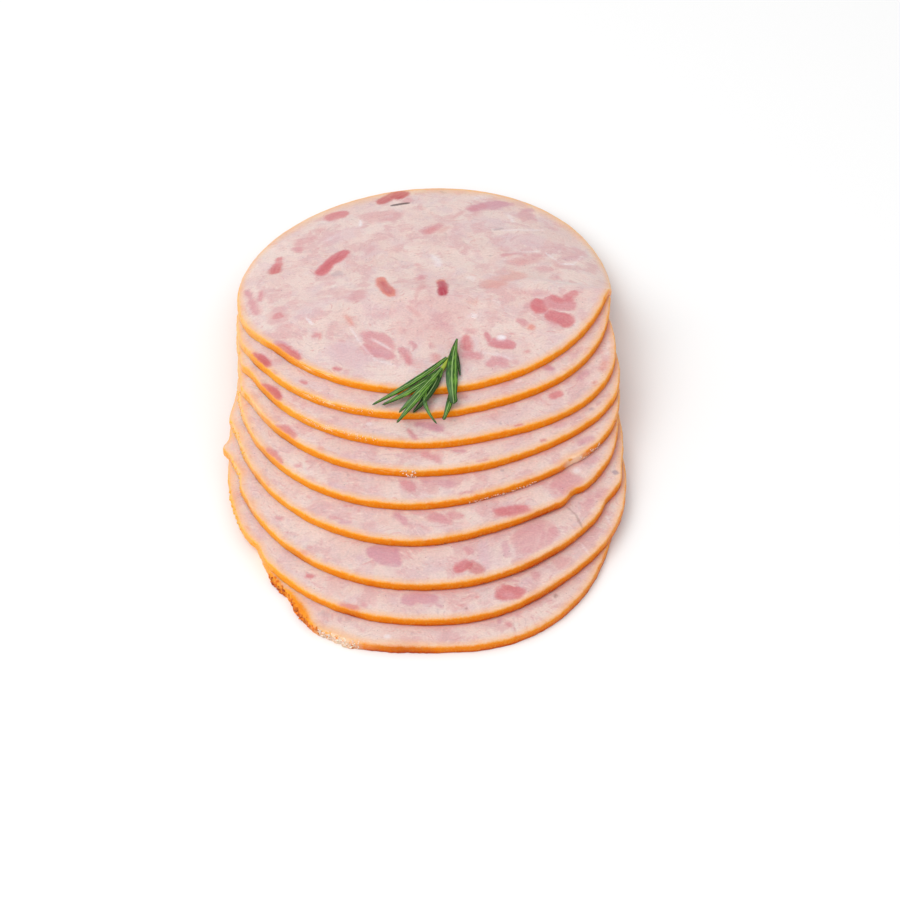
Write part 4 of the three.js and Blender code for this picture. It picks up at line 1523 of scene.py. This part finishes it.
    def core(self) -> tuple[Array, Array, Array]:
        """Fills the topmost slice inside its fine rings with an even square net.

        A place (a, b) of the square goes to the radius max(|a|, |b|) in the direction of a
        quarter turn times the smaller over the larger, so the net's cells stay nearly even.

        Returns:
            Directions, insets and the net's faces; the outer loop comes first, in order.
        """
        levels = self.LEVELS
        start = self.face_rings()[-1]
        side = np.arange(-levels, levels + 1)
        a, b = np.meshgrid(side, side, indexing="ij")
        flat_a, flat_b = a.ravel().astype(float), b.ravel().astype(float)
        wide = np.abs(flat_a) >= np.abs(flat_b)
        safe_a = np.where(flat_a == 0, 1.0, flat_a)
        safe_b = np.where(flat_b == 0, 1.0, flat_b)
        angle = np.where(
            wide, np.pi / 4 * flat_b / safe_a, np.pi / 2 - np.pi / 4 * flat_a / safe_b
        )
        angle = np.where((wide & (flat_a < 0)) | (~wide & (flat_b < 0)), angle + np.pi, angle)
        level = np.maximum(np.abs(flat_a), np.abs(flat_b)) / levels
        radius = self.stack.radius(self.index, angle)
        inset = radius - (radius - start) * level
        number = np.arange(len(side) ** 2).reshape(a.shape)
        quads = np.stack(
            [number[:-1, :-1], number[1:, :-1], number[1:, 1:], number[:-1, 1:]], -1
        ).reshape(-1, 4)
        loop = np.concatenate(
            [number[-1, :-1], number[::-1, -1][:-1], number[0, ::-1][:-1], number[:-1, 0]]
        )
        order = np.full(number.size, -1)
        order[loop] = np.arange(len(loop))
        rest = np.flatnonzero(order < 0)
        order[rest] = len(loop) + np.arange(len(rest))
        back = np.argsort(order)
        return angle[back], inset[back], order[quads]

    def build(self, looks: Sequence[bpy.types.Material]) -> bpy.types.Object:
        """Makes the mesh: rim rows, cut face and underside in one closed skin.

        Args:
            looks: Materials of the cut face and of the rim.

        Returns:
            The slice's object.
        """
        columns = self.columns()
        rings = self.face_rings()
        side_inset, side_height = self.side_rows()
        thick = self.stack.THICKNESS
        below = self.FOOT + np.array(self.UNDER_RINGS)
        row_inset = np.concatenate([rings[::-1], side_inset, below])
        row_height = np.concatenate([np.full(len(rings), thick), side_height, np.zeros(len(below))])
        angle = np.broadcast_to(columns, (len(row_inset), len(columns)))
        inset = np.broadcast_to(row_inset[:, None], angle.shape)
        height = np.broadcast_to(row_height[:, None], angle.shape)
        rows, wide = angle.shape
        number = np.arange(rows * wide).reshape(rows, wide)
        nxt = np.roll(number, -1, axis=1)
        quads = np.stack([number[:-1], number[1:], nxt[1:], nxt[:-1]], -1).reshape(-1, 4)
        angle, inset, height = angle.ravel(), inset.ravel(), height.ravel()
        foot = rows * wide
        angle = np.append(angle, 0.0)
        inset = np.append(inset, self.PAST_MIDDLE)
        height = np.append(height, 0.0)
        triangles = np.stack([number[-1], np.full(wide, foot), nxt[-1]], -1)
        if self.top:
            core_angle, core_inset, core_quads = self.core()
            extra = len(core_angle) - wide
            renumber = np.concatenate([number[0], foot + 1 + np.arange(extra)])
            quads = np.concatenate([quads, renumber[core_quads]])
            angle = np.append(angle, core_angle[wide:])
            inset = np.append(inset, core_inset[wide:])
            height = np.append(height, np.full(extra, thick))
        else:
            crown = foot + 1
            angle = np.append(angle, 0.0)
            inset = np.append(inset, self.PAST_MIDDLE)
            height = np.append(height, thick)
            cap = np.stack([number[0], nxt[0], np.full(wide, crown)], -1)
            triangles = np.concatenate([triangles, cap])
        points, log = self.place(angle, inset, height)
        made = solid_mesh(f"ham_{self.form.name}", points, quads, triangles)
        for look in looks:
            made.data.materials.append(look)
        worst = np.concatenate([inset[quads].max(axis=1), inset[triangles].max(axis=1)])
        slots = (worst < self.RIND_EDGE).astype(np.int32)
        made.data.polygons.foreach_set("material_index", slots)
        look = self.rim_look(angle)
        reach, tone, grain = self.chunk_values(log)
        down = np.where(inset <= self.CORNER, thick - height, 0.0)
        store(made, "log", "FLOAT_VECTOR", log)
        store(made, "inset", "FLOAT", np.where(height > 0.01, inset - down, -thick))
        store(made, "chunk", "FLOAT", reach)
        store(made, "chunk_tone", "FLOAT_COLOR", tone)
        store(made, "grain", "FLOAT_VECTOR", grain)
        looks_of_rim = np.stack([look[key] for key in ("pale", "dark", "wrap", "painted_shine")], -1)
        store(made, "rind_look", "FLOAT_COLOR", looks_of_rim)
        store(made, "rind_gold", "FLOAT", look["gold"])
        store(made, "rind_wide", "FLOAT", look["wide"])
        store(made, "under_rim_shade", "FLOAT", self.under_rim_shade(points))
        store(made, "rim_run", "FLOAT", angle * self.RADIUS)
        return made


@dataclass
class Ham:
    """All slices of the fan.

    Attributes:
        stack: Forms and heights of the slices.
        finish: Look of the meat and the rind.
    """

    stack: Stack = field(default_factory=lambda: Stack(SLICES))
    finish: MeatFinish = field(default_factory=MeatFinish)

    def build(self) -> list[bpy.types.Object]:
        """Makes and dresses the slices.

        Returns:
            The slices' objects.
        """
        looks = [self.finish.build(edge=False), self.finish.build(edge=True)]
        made = []
        for index, form in enumerate(self.stack.slices):
            piece = SliceBuilder(self.stack, index).build(looks)
            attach(piece, BODY)
            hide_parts(form.name)
            made.append(piece)
        return made


@dataclass(frozen=True)
class Scatter:
    """A run of torn bits on a slice's rim; the white runs on slices 2 and 3 stand for painted
    highlights.

    Attributes:
        index: Place of the slice in the stack, 0 for the topmost.
        start: First direction in degrees.
        end: Last direction in degrees.
        low: Least height over the underside, in parts of the thickness.
        high: Greatest height, in the same parts.
        count: Number of bits.
        size: Length of the largest bit in mm.
        colour: Colour of the bits.
    """

    index: int
    start: float
    end: float
    low: float
    high: float
    count: int
    size: float
    colour: Colour


TORN_FAT_AND_GLINT = linear(250, 216, 196)
TORN_RIND = linear(228, 122, 26)
TORN_DARK = linear(176, 74, 24)
TORN_GOLD = linear(250, 182, 74)
SCATTERS = (
    Scatter(8, 240.5, 252.5, 0.1, 1.0, 150, 1.1, TORN_FAT_AND_GLINT),
    Scatter(8, 226.0, 241.0, 0.15, 1.0, 60, 1.7, TORN_RIND),
    Scatter(8, 226.0, 241.0, 0.1, 0.9, 16, 1.3, TORN_DARK),
    Scatter(8, 215.5, 224.5, 0.2, 1.0, 34, 1.5, TORN_RIND),
    Scatter(8, 216.0, 224.0, 0.1, 0.9, 14, 1.4, TORN_DARK),
    Scatter(4, 281.0, 303.5, 0.02, 0.3, 60, 0.8, TORN_FAT_AND_GLINT),
    Scatter(4, 318.0, 327.0, 0.05, 0.7, 22, 0.9, TORN_FAT_AND_GLINT),
    Scatter(3, 263.0, 267.5, 0.05, 0.9, 18, 1.1, TORN_FAT_AND_GLINT),
    # White bits high on the rims of slices 2 and 3 stand for painted glossy highlights.
    Scatter(2, 234.0, 257.0, 0.5, 1.0, 56, 0.6, TORN_FAT_AND_GLINT),
    Scatter(1, 234.0, 254.0, 0.5, 1.0, 50, 0.6, TORN_FAT_AND_GLINT),
    Scatter(7, 187.0, 204.0, 0.1, 1.0, 46, 1.2, TORN_GOLD),
    Scatter(6, 188.0, 203.0, 0.1, 1.0, 30, 1.1, TORN_GOLD),
    Scatter(5, 189.0, 204.0, 0.1, 1.0, 36, 1.1, TORN_GOLD),
    Scatter(4, 189.0, 201.0, 0.1, 1.0, 24, 1.0, TORN_GOLD),
    Scatter(6, 246.0, 300.0, 0.02, 0.25, 40, 0.6, TORN_DARK),
    Scatter(5, 250.0, 300.0, 0.02, 0.25, 34, 0.6, TORN_DARK),
)


@dataclass
class Crumbs:
    """The torn bits and the white painted-highlight bits on the rims, in one mesh of small closed
    bodies.

    Attributes:
        stack: Forms and heights of the slices.
        scatters: Runs of bits.
    """

    stack: Stack
    scatters: tuple[Scatter, ...] = SCATTERS

    RINGS = 5
    SIDES = 8
    SEED = 77
    FLATTEST = 0.45
    UNEVEN = (0.75, 1.15)
    CLEAR = 0.02

    def ball(self) -> tuple[Array, Array, Array]:
        """Makes a ball of radius 1 from rings of equal turns.

        Returns:
            Corners, faces of four corners, and the triangles round the two poles.
        """
        down = np.pi * np.arange(1, self.RINGS + 1) / (self.RINGS + 1)
        turn = 2 * np.pi * np.arange(self.SIDES) / self.SIDES
        flat = np.sin(down)[:, None]
        x, y = flat * np.cos(turn), flat * np.sin(turn)
        z = np.broadcast_to(np.cos(down)[:, None], x.shape)
        skin = np.stack([x, y, z], -1).reshape(-1, 3)
        points = np.concatenate([[[0.0, 0.0, 1.0]], skin, [[0.0, 0.0, -1.0]]])
        number = 1 + np.arange(self.RINGS * self.SIDES).reshape(self.RINGS, self.SIDES)
        nxt = np.roll(number, -1, axis=1)
        quads = np.stack([number[:-1], number[1:], nxt[1:], nxt[:-1]], -1).reshape(-1, 4)
        top = np.zeros(self.SIDES, int)
        crown = np.stack([top, number[0], nxt[0]], -1)
        foot = np.stack([top + len(points) - 1, nxt[-1], number[-1]], -1)
        return points, quads, np.concatenate([crown, foot])

    def middles(self, run: Scatter, rng: np.random.Generator) -> Array:
        """Spreads the middles of a run's bits over the rim's surface.

        Args:
            run: Run of bits.
            rng: Source of the random draws.

        Returns:
            Places in mm.
        """
        builder = SliceBuilder(self.stack, run.index)
        inset, height = builder.side_rows()
        angle = np.radians(rng.uniform(run.start, run.end, run.count))
        at = rng.uniform(run.low, run.high, run.count) * self.stack.THICKNESS
        return builder.place(angle, np.interp(at, height[::-1], inset[::-1]), at)[0]

    def finish(self) -> bpy.types.Material:
        """Makes the material, which reads the bits' own colour.

        Returns:
            The finished material.
        """
        graph = Graph("torn_bits_and_glints")
        colour = graph.attribute("bit_colour").outputs["Color"]
        graph.set(base_color=colour, roughness=0.4, specular_ior_level=0.25)
        graph.set(subsurface_weight=0.4, subsurface_scale=0.001)
        graph.set(subsurface_radius=(1.0, 0.4, 0.3))
        return graph.material

    def build(self) -> bpy.types.Object:
        """Makes and dresses the bits.

        Each is a ball with uneven radii, stretched along its own axes and turned at random. The
        turn's three axes come from three random directions made square to each other.

        Returns:
            The bits' object.
        """
        rng = np.random.default_rng(self.SEED)
        ball, quads, triangles = self.ball()
        bodies, colours = [], []
        for run in self.scatters:
            shape = (run.count, len(ball), 1)
            axes = np.linalg.qr(rng.normal(size=(run.count, 3, 3)))[0]
            axes = axes * np.sign(np.linalg.det(axes))[:, None, None]
            half = run.size / 2 * rng.uniform(self.FLATTEST, 1.0, (run.count, 1, 1))
            stretch = rng.uniform(self.FLATTEST, 1.0, (run.count, 1, 3))
            bits = ball[None] * rng.uniform(*self.UNEVEN, shape) * half * stretch
            bodies.append(bits @ axes + self.middles(run, rng)[:, None, :])
            tint = np.array(run.colour) * rng.uniform(*self.UNEVEN, (run.count, 1, 1))
            colours.append(np.broadcast_to(np.clip(tint, 0.0, 1.0), (run.count, len(ball), 3)))
        points = np.concatenate(bodies).reshape(-1, 3)
        points[:, 2] = np.maximum(points[:, 2], self.CLEAR)
        first = len(ball) * np.arange(len(points) // len(ball))[:, None, None]
        made = solid_mesh(
            "torn_bits_and_glints", points, (quads + first).reshape(-1, 4), (triangles + first).reshape(-1, 3)
        )
        tints = np.concatenate(colours).reshape(-1, 3)
        store(made, "bit_colour", "FLOAT_COLOR", np.concatenate([tints, tints[:, :1] * 0 + 1], -1))
        made.data.materials.append(self.finish())
        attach(made, BODY)
        return made


@dataclass(frozen=True)
class Leaf:
    """A rosemary leaf.

    Attributes:
        path: Points in mm from the base to the tip.
        width: Greatest width in mm.
        base: Width at the base, in parts of the greatest.
        deep: How dark it is, from 0 to 1.
        belly: Place of the greatest width along the length, from 0 to 1.
        tip: Width at the tip, in parts of the greatest.
        start: Where on the sine the width starts, in parts of half a turn.
    """

    path: tuple[tuple[float, float, float], ...]
    width: float
    base: float = 0.5
    deep: float = 0.15
    belly: float = 0.43
    tip: float = 0.36
    start: float = 0.12


LEAVES = (
    Leaf(
        ((11.8, 1.2, 35.8), (9.8, -17.0, 35.6), (10.6, -30.8, 32.7)),
        4.6, 0.16, belly=0.6, tip=0.72, start=0.02,
    ),
    Leaf(((10.3, -21.8, 34.4), (8.6, -30.5, 31.5), (6.6, -37.0, 30.4)), 2.5, 0.5, tip=0.6),
    Leaf(((11.3, -3.8, 35.4), (12.3, -11.2, 34.8), (13.0, -17.1, 34.2)), 1.4, 0.5, deep=0.9),
    Leaf(((7.8, -9.0, 35.7), (-4.9, -21.2, 35.0), (-20.4, -30.2, 31.5)), 2.6),
    Leaf(((5.6, -14.2, 35.1), (-5.3, -24.9, 34.3), (-16.6, -30.0, 31.3)), 2.8),
    Leaf(((5.7, -14.9, 35.8), (-2.2, -26.4, 35.3), (-10.2, -34.9, 32.1)), 2.8),
    Leaf(((5.2, -15.7, 35.7), (-3.0, -29.4, 34.8), (-11.0, -39.7, 31.5)), 2.8),
    # This leaf lies under the others; its darkness is painted shade.
    Leaf(((5.3, -15.6, 34.6), (1.1, -26.8, 34.1), (-4.9, -33.6, 30.8)), 3.2, deep=0.85),
    Leaf(((4.7, -16.5, 35.0), (-0.5, -29.9, 33.2), (4.2, -37.3, 28.5)), 1.8, deep=0.0, tip=0.4),
    Leaf(((6.1, -15.3, 35.2), (4.9, -19.0, 34.8), (3.8, -22.4, 34.4)), 1.7, 0.6, deep=0.0),
)


@dataclass(frozen=True)
class LeafFinish:
    """Satin needle leaves, paler along the midrib, a painted highlight on one side, painted shade on
    the other.

    Attributes:
        green: Main colour.
        streak: Colour of the paler streaks along the leaf.
        painted_highlight: Colour of the painted highlight in a stripe beside the midrib.
        painted_sheen: Colour of the painted greyish reflection towards the tip.
        deep: Colour of the darkest leaves, the tips, and painted shade along one edge of each leaf.
        rib: Colour of the midrib.
        wood: Colour of the stem.
    """

    green: Colour = linear(34, 74, 14)
    streak: Colour = linear(104, 154, 46)
    painted_highlight: Colour = linear(138, 182, 80)
    painted_sheen: Colour = linear(112, 146, 104)
    deep: Colour = linear(20, 46, 10)
    rib: Colour = linear(176, 204, 132)
    wood: Colour = linear(150, 166, 58)

    def build(self) -> bpy.types.Material:
        """Makes the material.

        Returns:
            The finished material.
        """
        graph = Graph("rosemary")
        along, across, deep = graph.split(graph.attribute("leaf_form").outputs["Color"])
        place = graph.attribute("leaf_place").outputs["Vector"]
        streak = graph.noise(graph.stretch(place, (0.25, 2.4, 1.0)), 1.0, 3.0).outputs["Fac"]
        colour = graph.mix(graph.ramp(streak, 0.47, 0.66), self.green, self.streak)
        # A painted highlight in a stripe along one side of the leaf.
        painted_highlight = graph.maths("ABSOLUTE", graph.maths("ADD", across, 0.6))
        colour = graph.layer(colour, self.painted_highlight, painted_highlight, low=0.22, high=0.04, share=0.5)
        # Painted shade along the other edge of the leaf.
        colour = graph.layer(colour, self.deep, across, low=0.55, high=0.95, share=0.75)
        # A painted greyish reflection on one half of the leaf towards the tip.
        painted_sheen = graph.maths("MULTIPLY", graph.ramp(along, 0.35, 0.8), graph.ramp(across, -0.1, 0.3))
        colour = graph.mix(graph.maths("MULTIPLY", painted_sheen, 0.4), colour, self.painted_sheen)
        colour = graph.mix(deep, colour, self.deep)
        colour = graph.layer(colour, self.deep, along, low=0.82, high=1.0, share=0.6)
        middle = graph.maths("ABSOLUTE", across)
        colour = graph.layer(colour, self.rib, middle, low=0.16, high=0.04, share=0.55)
        wood = graph.attribute("wood").outputs["Fac"]
        colour = graph.mix(wood, colour, self.wood)
        fine = graph.noise(place, 3.0, 3.0).outputs["Fac"]
        normal = graph.bump(graph.maths("ADD", fine, streak), 0.4, 0.00012)
        graph.set(base_color=colour, roughness=0.44, normal=normal, specular_ior_level=0.22)
        graph.set(subsurface_weight=0.08, subsurface_scale=0.0008)
        graph.set(subsurface_radius=(0.4, 1.0, 0.3))
        return graph.material


@dataclass
class Sprig:
    """The rosemary sprig: a short stem with ten leaves.

    Attributes:
        leaves: Forms of the leaves.
        stem: Points of the stem in mm, from its end to the leaves.
        stem_width: Diameter of the stem in mm.
        finish: Look of the leaves and the stem.
    """

    leaves: tuple[Leaf, ...] = LEAVES
    stem: tuple[tuple[float, float, float], ...] = (
        (9.4, -7.7, 35.0),
        (7.2, -12.2, 35.0),
        (5.1, -16.2, 34.9),
    )
    stem_width: float = 1.9
    finish: LeafFinish = field(default_factory=LeafFinish)

    STEPS = 48
    SIDES = 20
    GROOVE = 0.35
    LEAF_APART = 9.0

    def path(self, points: Sequence[tuple[float, float, float]]) -> Array:
        """Runs a smooth curve through three points.

        The curve is the parabola that passes them at 0, the first chord's share of both chords,
        and 1.

        Args:
            points: Three points in mm.

        Returns:
            Points along the curve.
        """
        a, b, c = (np.array(p) for p in points)
        share = np.linalg.norm(b - a)
        share = share / (share + np.linalg.norm(c - b))
        t = np.linspace(0.0, 1.0, self.STEPS)[:, None]
        return (
            a * (t - share) * (t - 1) / share
            + b * t * (t - 1) / (share * (share - 1))
            + c * t * (t - share) / (1 - share)
        )

    def sweep(
        self, path: Array, half: Array, thick: Array, groove: float
    ) -> tuple[Array, Array, Array]:
        """Carries a leaf's section along a path.

        The section is a flat lens whose upper side is domed with a groove along its middle.

        Args:
            path: Points along the middle in mm.
            half: Half widths in mm.
            thick: Half thicknesses in mm.
            groove: Depth of the groove, in parts of the thickness.

        Returns:
            Points, faces of four corners, and place across for each point.
        """
        along = np.gradient(path, axis=0)
        along = along / np.linalg.norm(along, axis=1, keepdims=True)
        side = np.cross(along, np.array([0.0, 0.0, 1.0]))
        side = side / np.linalg.norm(side, axis=1, keepdims=True)
        up = np.cross(side, along)
        angle = np.arange(self.SIDES) / self.SIDES * 2 * np.pi
        across = np.cos(angle)
        rise = np.sign(np.sin(angle)) * np.abs(np.sin(angle)) ** 0.8
        rise = np.where(rise > 0, rise - groove * np.exp(-((across / 0.22) ** 2)), rise * 0.7)
        points = (
            path[:, None, :]
            + side[:, None, :] * (half[:, None] * across)[..., None]
            + up[:, None, :] * (thick[:, None] * rise)[..., None]
        )
        steps = len(path)
        number = np.arange(steps * self.SIDES).reshape(steps, self.SIDES)
        nxt = np.roll(number, -1, axis=1)
        quads = np.stack([number[:-1], number[1:], nxt[1:], nxt[:-1]], -1).reshape(-1, 4)
        return points.reshape(-1, 3), quads, np.tile(across, steps)

    def blade(self, leaf: Leaf) -> tuple[Array, Array]:
        """Gives a leaf's half widths and half thicknesses along its length.

        The width is a sine raised to 0.6, with its top moved to the leaf's belly.

        Args:
            leaf: Form of the leaf.

        Returns:
            Half widths and half thicknesses in mm.
        """
        s = np.linspace(0.0, 1.0, self.STEPS)
        top = (0.5 - leaf.start) / (1.0 - leaf.start)
        turn = leaf.start + (1.0 - leaf.start) * s ** (math.log(top) / math.log(leaf.belly))
        swell = np.sin(np.pi * turn) ** 0.6
        taper = leaf.base + (leaf.tip - leaf.base) * s
        half = leaf.width / 2 * np.maximum(taper, swell)
        close = np.sqrt(np.clip((1.0 - s) / 0.04, 0.0, 1.0))
        half = half * (0.1 + 0.9 * close)
        return half, 0.5 * np.minimum(1.0, 0.45 + half) * (0.3 + 0.7 * close)

    def build(self) -> bpy.types.Object:
        """Makes and dresses the sprig.

        Returns:
            The sprig's object.
        """
        points, quads, fans, forms, places, woods = [], [], [], [], [], []
        total = 0
        s = np.repeat(np.linspace(0.0, 1.0, self.STEPS), self.SIDES)
        parts: list[tuple[Array, Array, Array, float, float, float]] = []
        for leaf in self.leaves:
            half, thick = self.blade(leaf)
            parts.append((self.path(leaf.path), half, thick, self.GROOVE, leaf.deep, 0.0))
        thick = np.full(self.STEPS, self.stem_width / 2)
        thick[[0, -1]] *= 0.4
        parts.append((self.path(self.stem), thick, thick, 0.0, 0.0, 1.0))
        for number, (path, half, thick, groove, deep, wood) in enumerate(parts):
            skin, faces, across = self.sweep(path, half, thick, groove)
            ends = np.stack([path[0], path[-1]])
            points.append(np.concatenate([skin, ends]))
            quads.append(faces + total)
            first = np.arange(self.SIDES)
            last = first + (self.STEPS - 1) * self.SIDES
            hub = total + len(skin)
            fans.append(
                np.stack([first + total, np.roll(first, -1) + total, np.full(self.SIDES, hub)], -1)
            )
            fans.append(
                np.stack([last + total, np.full(self.SIDES, hub + 1), np.roll(last, -1) + total], -1)
            )
            run = np.concatenate([s, [0.0, 1.0]])
            over = np.concatenate([across, [0.0, 0.0]])
            forms.append(np.stack([run, over, np.full(len(run), deep), run * 0 + 1], -1))
            size = np.linalg.norm(path[-1] - path[0])
            apart = run * 0 + self.LEAF_APART * number
            places.append(np.stack([run * size, over * half.max(), apart], -1))
            woods.append(np.full(len(run), wood))
            total += len(skin) + 2
        made = solid_mesh(
            "rosemary", np.concatenate(points), np.concatenate(quads), np.concatenate(fans)
        )
        store(made, "leaf_form", "FLOAT_COLOR", np.concatenate(forms))
        store(made, "leaf_place", "FLOAT_VECTOR", np.concatenate(places))
        store(made, "wood", "FLOAT", np.concatenate(woods))
        made.data.materials.append(self.finish.build())
        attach(made, BODY)
        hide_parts("rosemary_sprig")
        return made


@dataclass
class Studio:
    """Pale floor, soft light from the upper left and the camera.

    Attributes:
        eye: Place of the camera in mm.
        tilt: Angle of the camera below the horizon in degrees.
        lens: Focal length in mm.
        sensor: Width of the sensor in mm.
        floor_reach: Half side of the floor in mm.
        floor_drop: Depth of the floor under the ham in mm.
        lamp_way: Direction from the ham to the lamp.
        lamp_far: Distance of the lamp in m.
        lamp_size: Side of the lamp in m.
        lamp_power: Power of the lamp in watts.
        sky: Strength of the light from all round.
    """

    eye: tuple[float, float, float] = (9.1, -755.3, 763.0)
    tilt: float = 46.2
    lens: float = 108.8
    sensor: float = 36.0
    floor_reach: float = 3000.0
    floor_drop: float = 0.05
    lamp_way: tuple[float, float, float] = (-0.44, -0.34, 0.83)
    lamp_far: float = 1.6
    lamp_size: float = 1.3
    lamp_power: float = 15.0
    sky: float = 0.84

    def floor(self) -> None:
        """Lays the pale floor."""
        corners = np.array([[-1, -1, 0], [1, -1, 0], [1, 1, 0], [-1, 1, 0]]) * self.floor_reach
        corners = corners + np.array([0.0, 0.0, -self.floor_drop])
        made = solid_mesh("floor", corners, np.array([[0, 1, 2, 3]]), np.empty((0, 3), int))
        graph = Graph("floor")
        graph.set(base_color=linear(238, 238, 238), roughness=0.9, specular_ior_level=0.1)
        made.data.materials.append(graph.material)

    def lamps(self) -> None:
        """Hangs the soft lamp and sets the light from all round."""
        scene = bpy.context.scene
        world = bpy.data.worlds.new("studio")
        world.use_nodes = True
        back = next(n for n in world.node_tree.nodes if n.type == "BACKGROUND")
        back.inputs["Color"].default_value = (1.0, 1.0, 1.0, 1.0)
        back.inputs["Strength"].default_value = self.sky
        scene.world = world
        data = bpy.data.lights.new("soft_lamp", "AREA")
        data.shape = "SQUARE"
        data.size = self.lamp_size
        data.energy = self.lamp_power
        lamp = bpy.data.objects.new("soft_lamp", data)
        way = np.array(self.lamp_way) / np.linalg.norm(self.lamp_way)
        lamp.location = tuple(way * self.lamp_far)
        tilt = math.acos(way[2])
        lamp.rotation_euler = (0.0, tilt, math.atan2(way[1], way[0]))
        scene.collection.objects.link(lamp)

    def camera(self) -> None:
        """Sets up the camera."""
        data = bpy.data.cameras.new("camera")
        data.lens = self.lens
        data.sensor_width = self.sensor
        data.clip_start = 0.01
        data.clip_end = 20.0
        made = bpy.data.objects.new("camera", data)
        made.location = tuple(v * MM for v in self.eye)
        made.rotation_euler = (math.radians(90.0 - self.tilt), 0.0, 0.0)
        bpy.context.scene.collection.objects.link(made)
        bpy.context.scene.camera = made

    def build(self) -> None:
        """Makes the studio."""
        self.floor()
        self.lamps()
        self.camera()
        bpy.context.scene.view_settings.view_transform = "Standard"
        bpy.context.scene.view_settings.look = "None"


def main() -> None:
    """Builds the studio, the ham and the sprig in order, and reports each piece."""
    logging.basicConfig(level=logging.INFO)
    Studio().build()
    ham = Ham()
    pieces = [*ham.build(), Crumbs(ham.stack).build(), Sprig().build()]
    for piece in pieces:
        LOG.info("%s: %d faces", piece.name, len(piece.data.polygons))


if __name__ == "__main__":
    main()
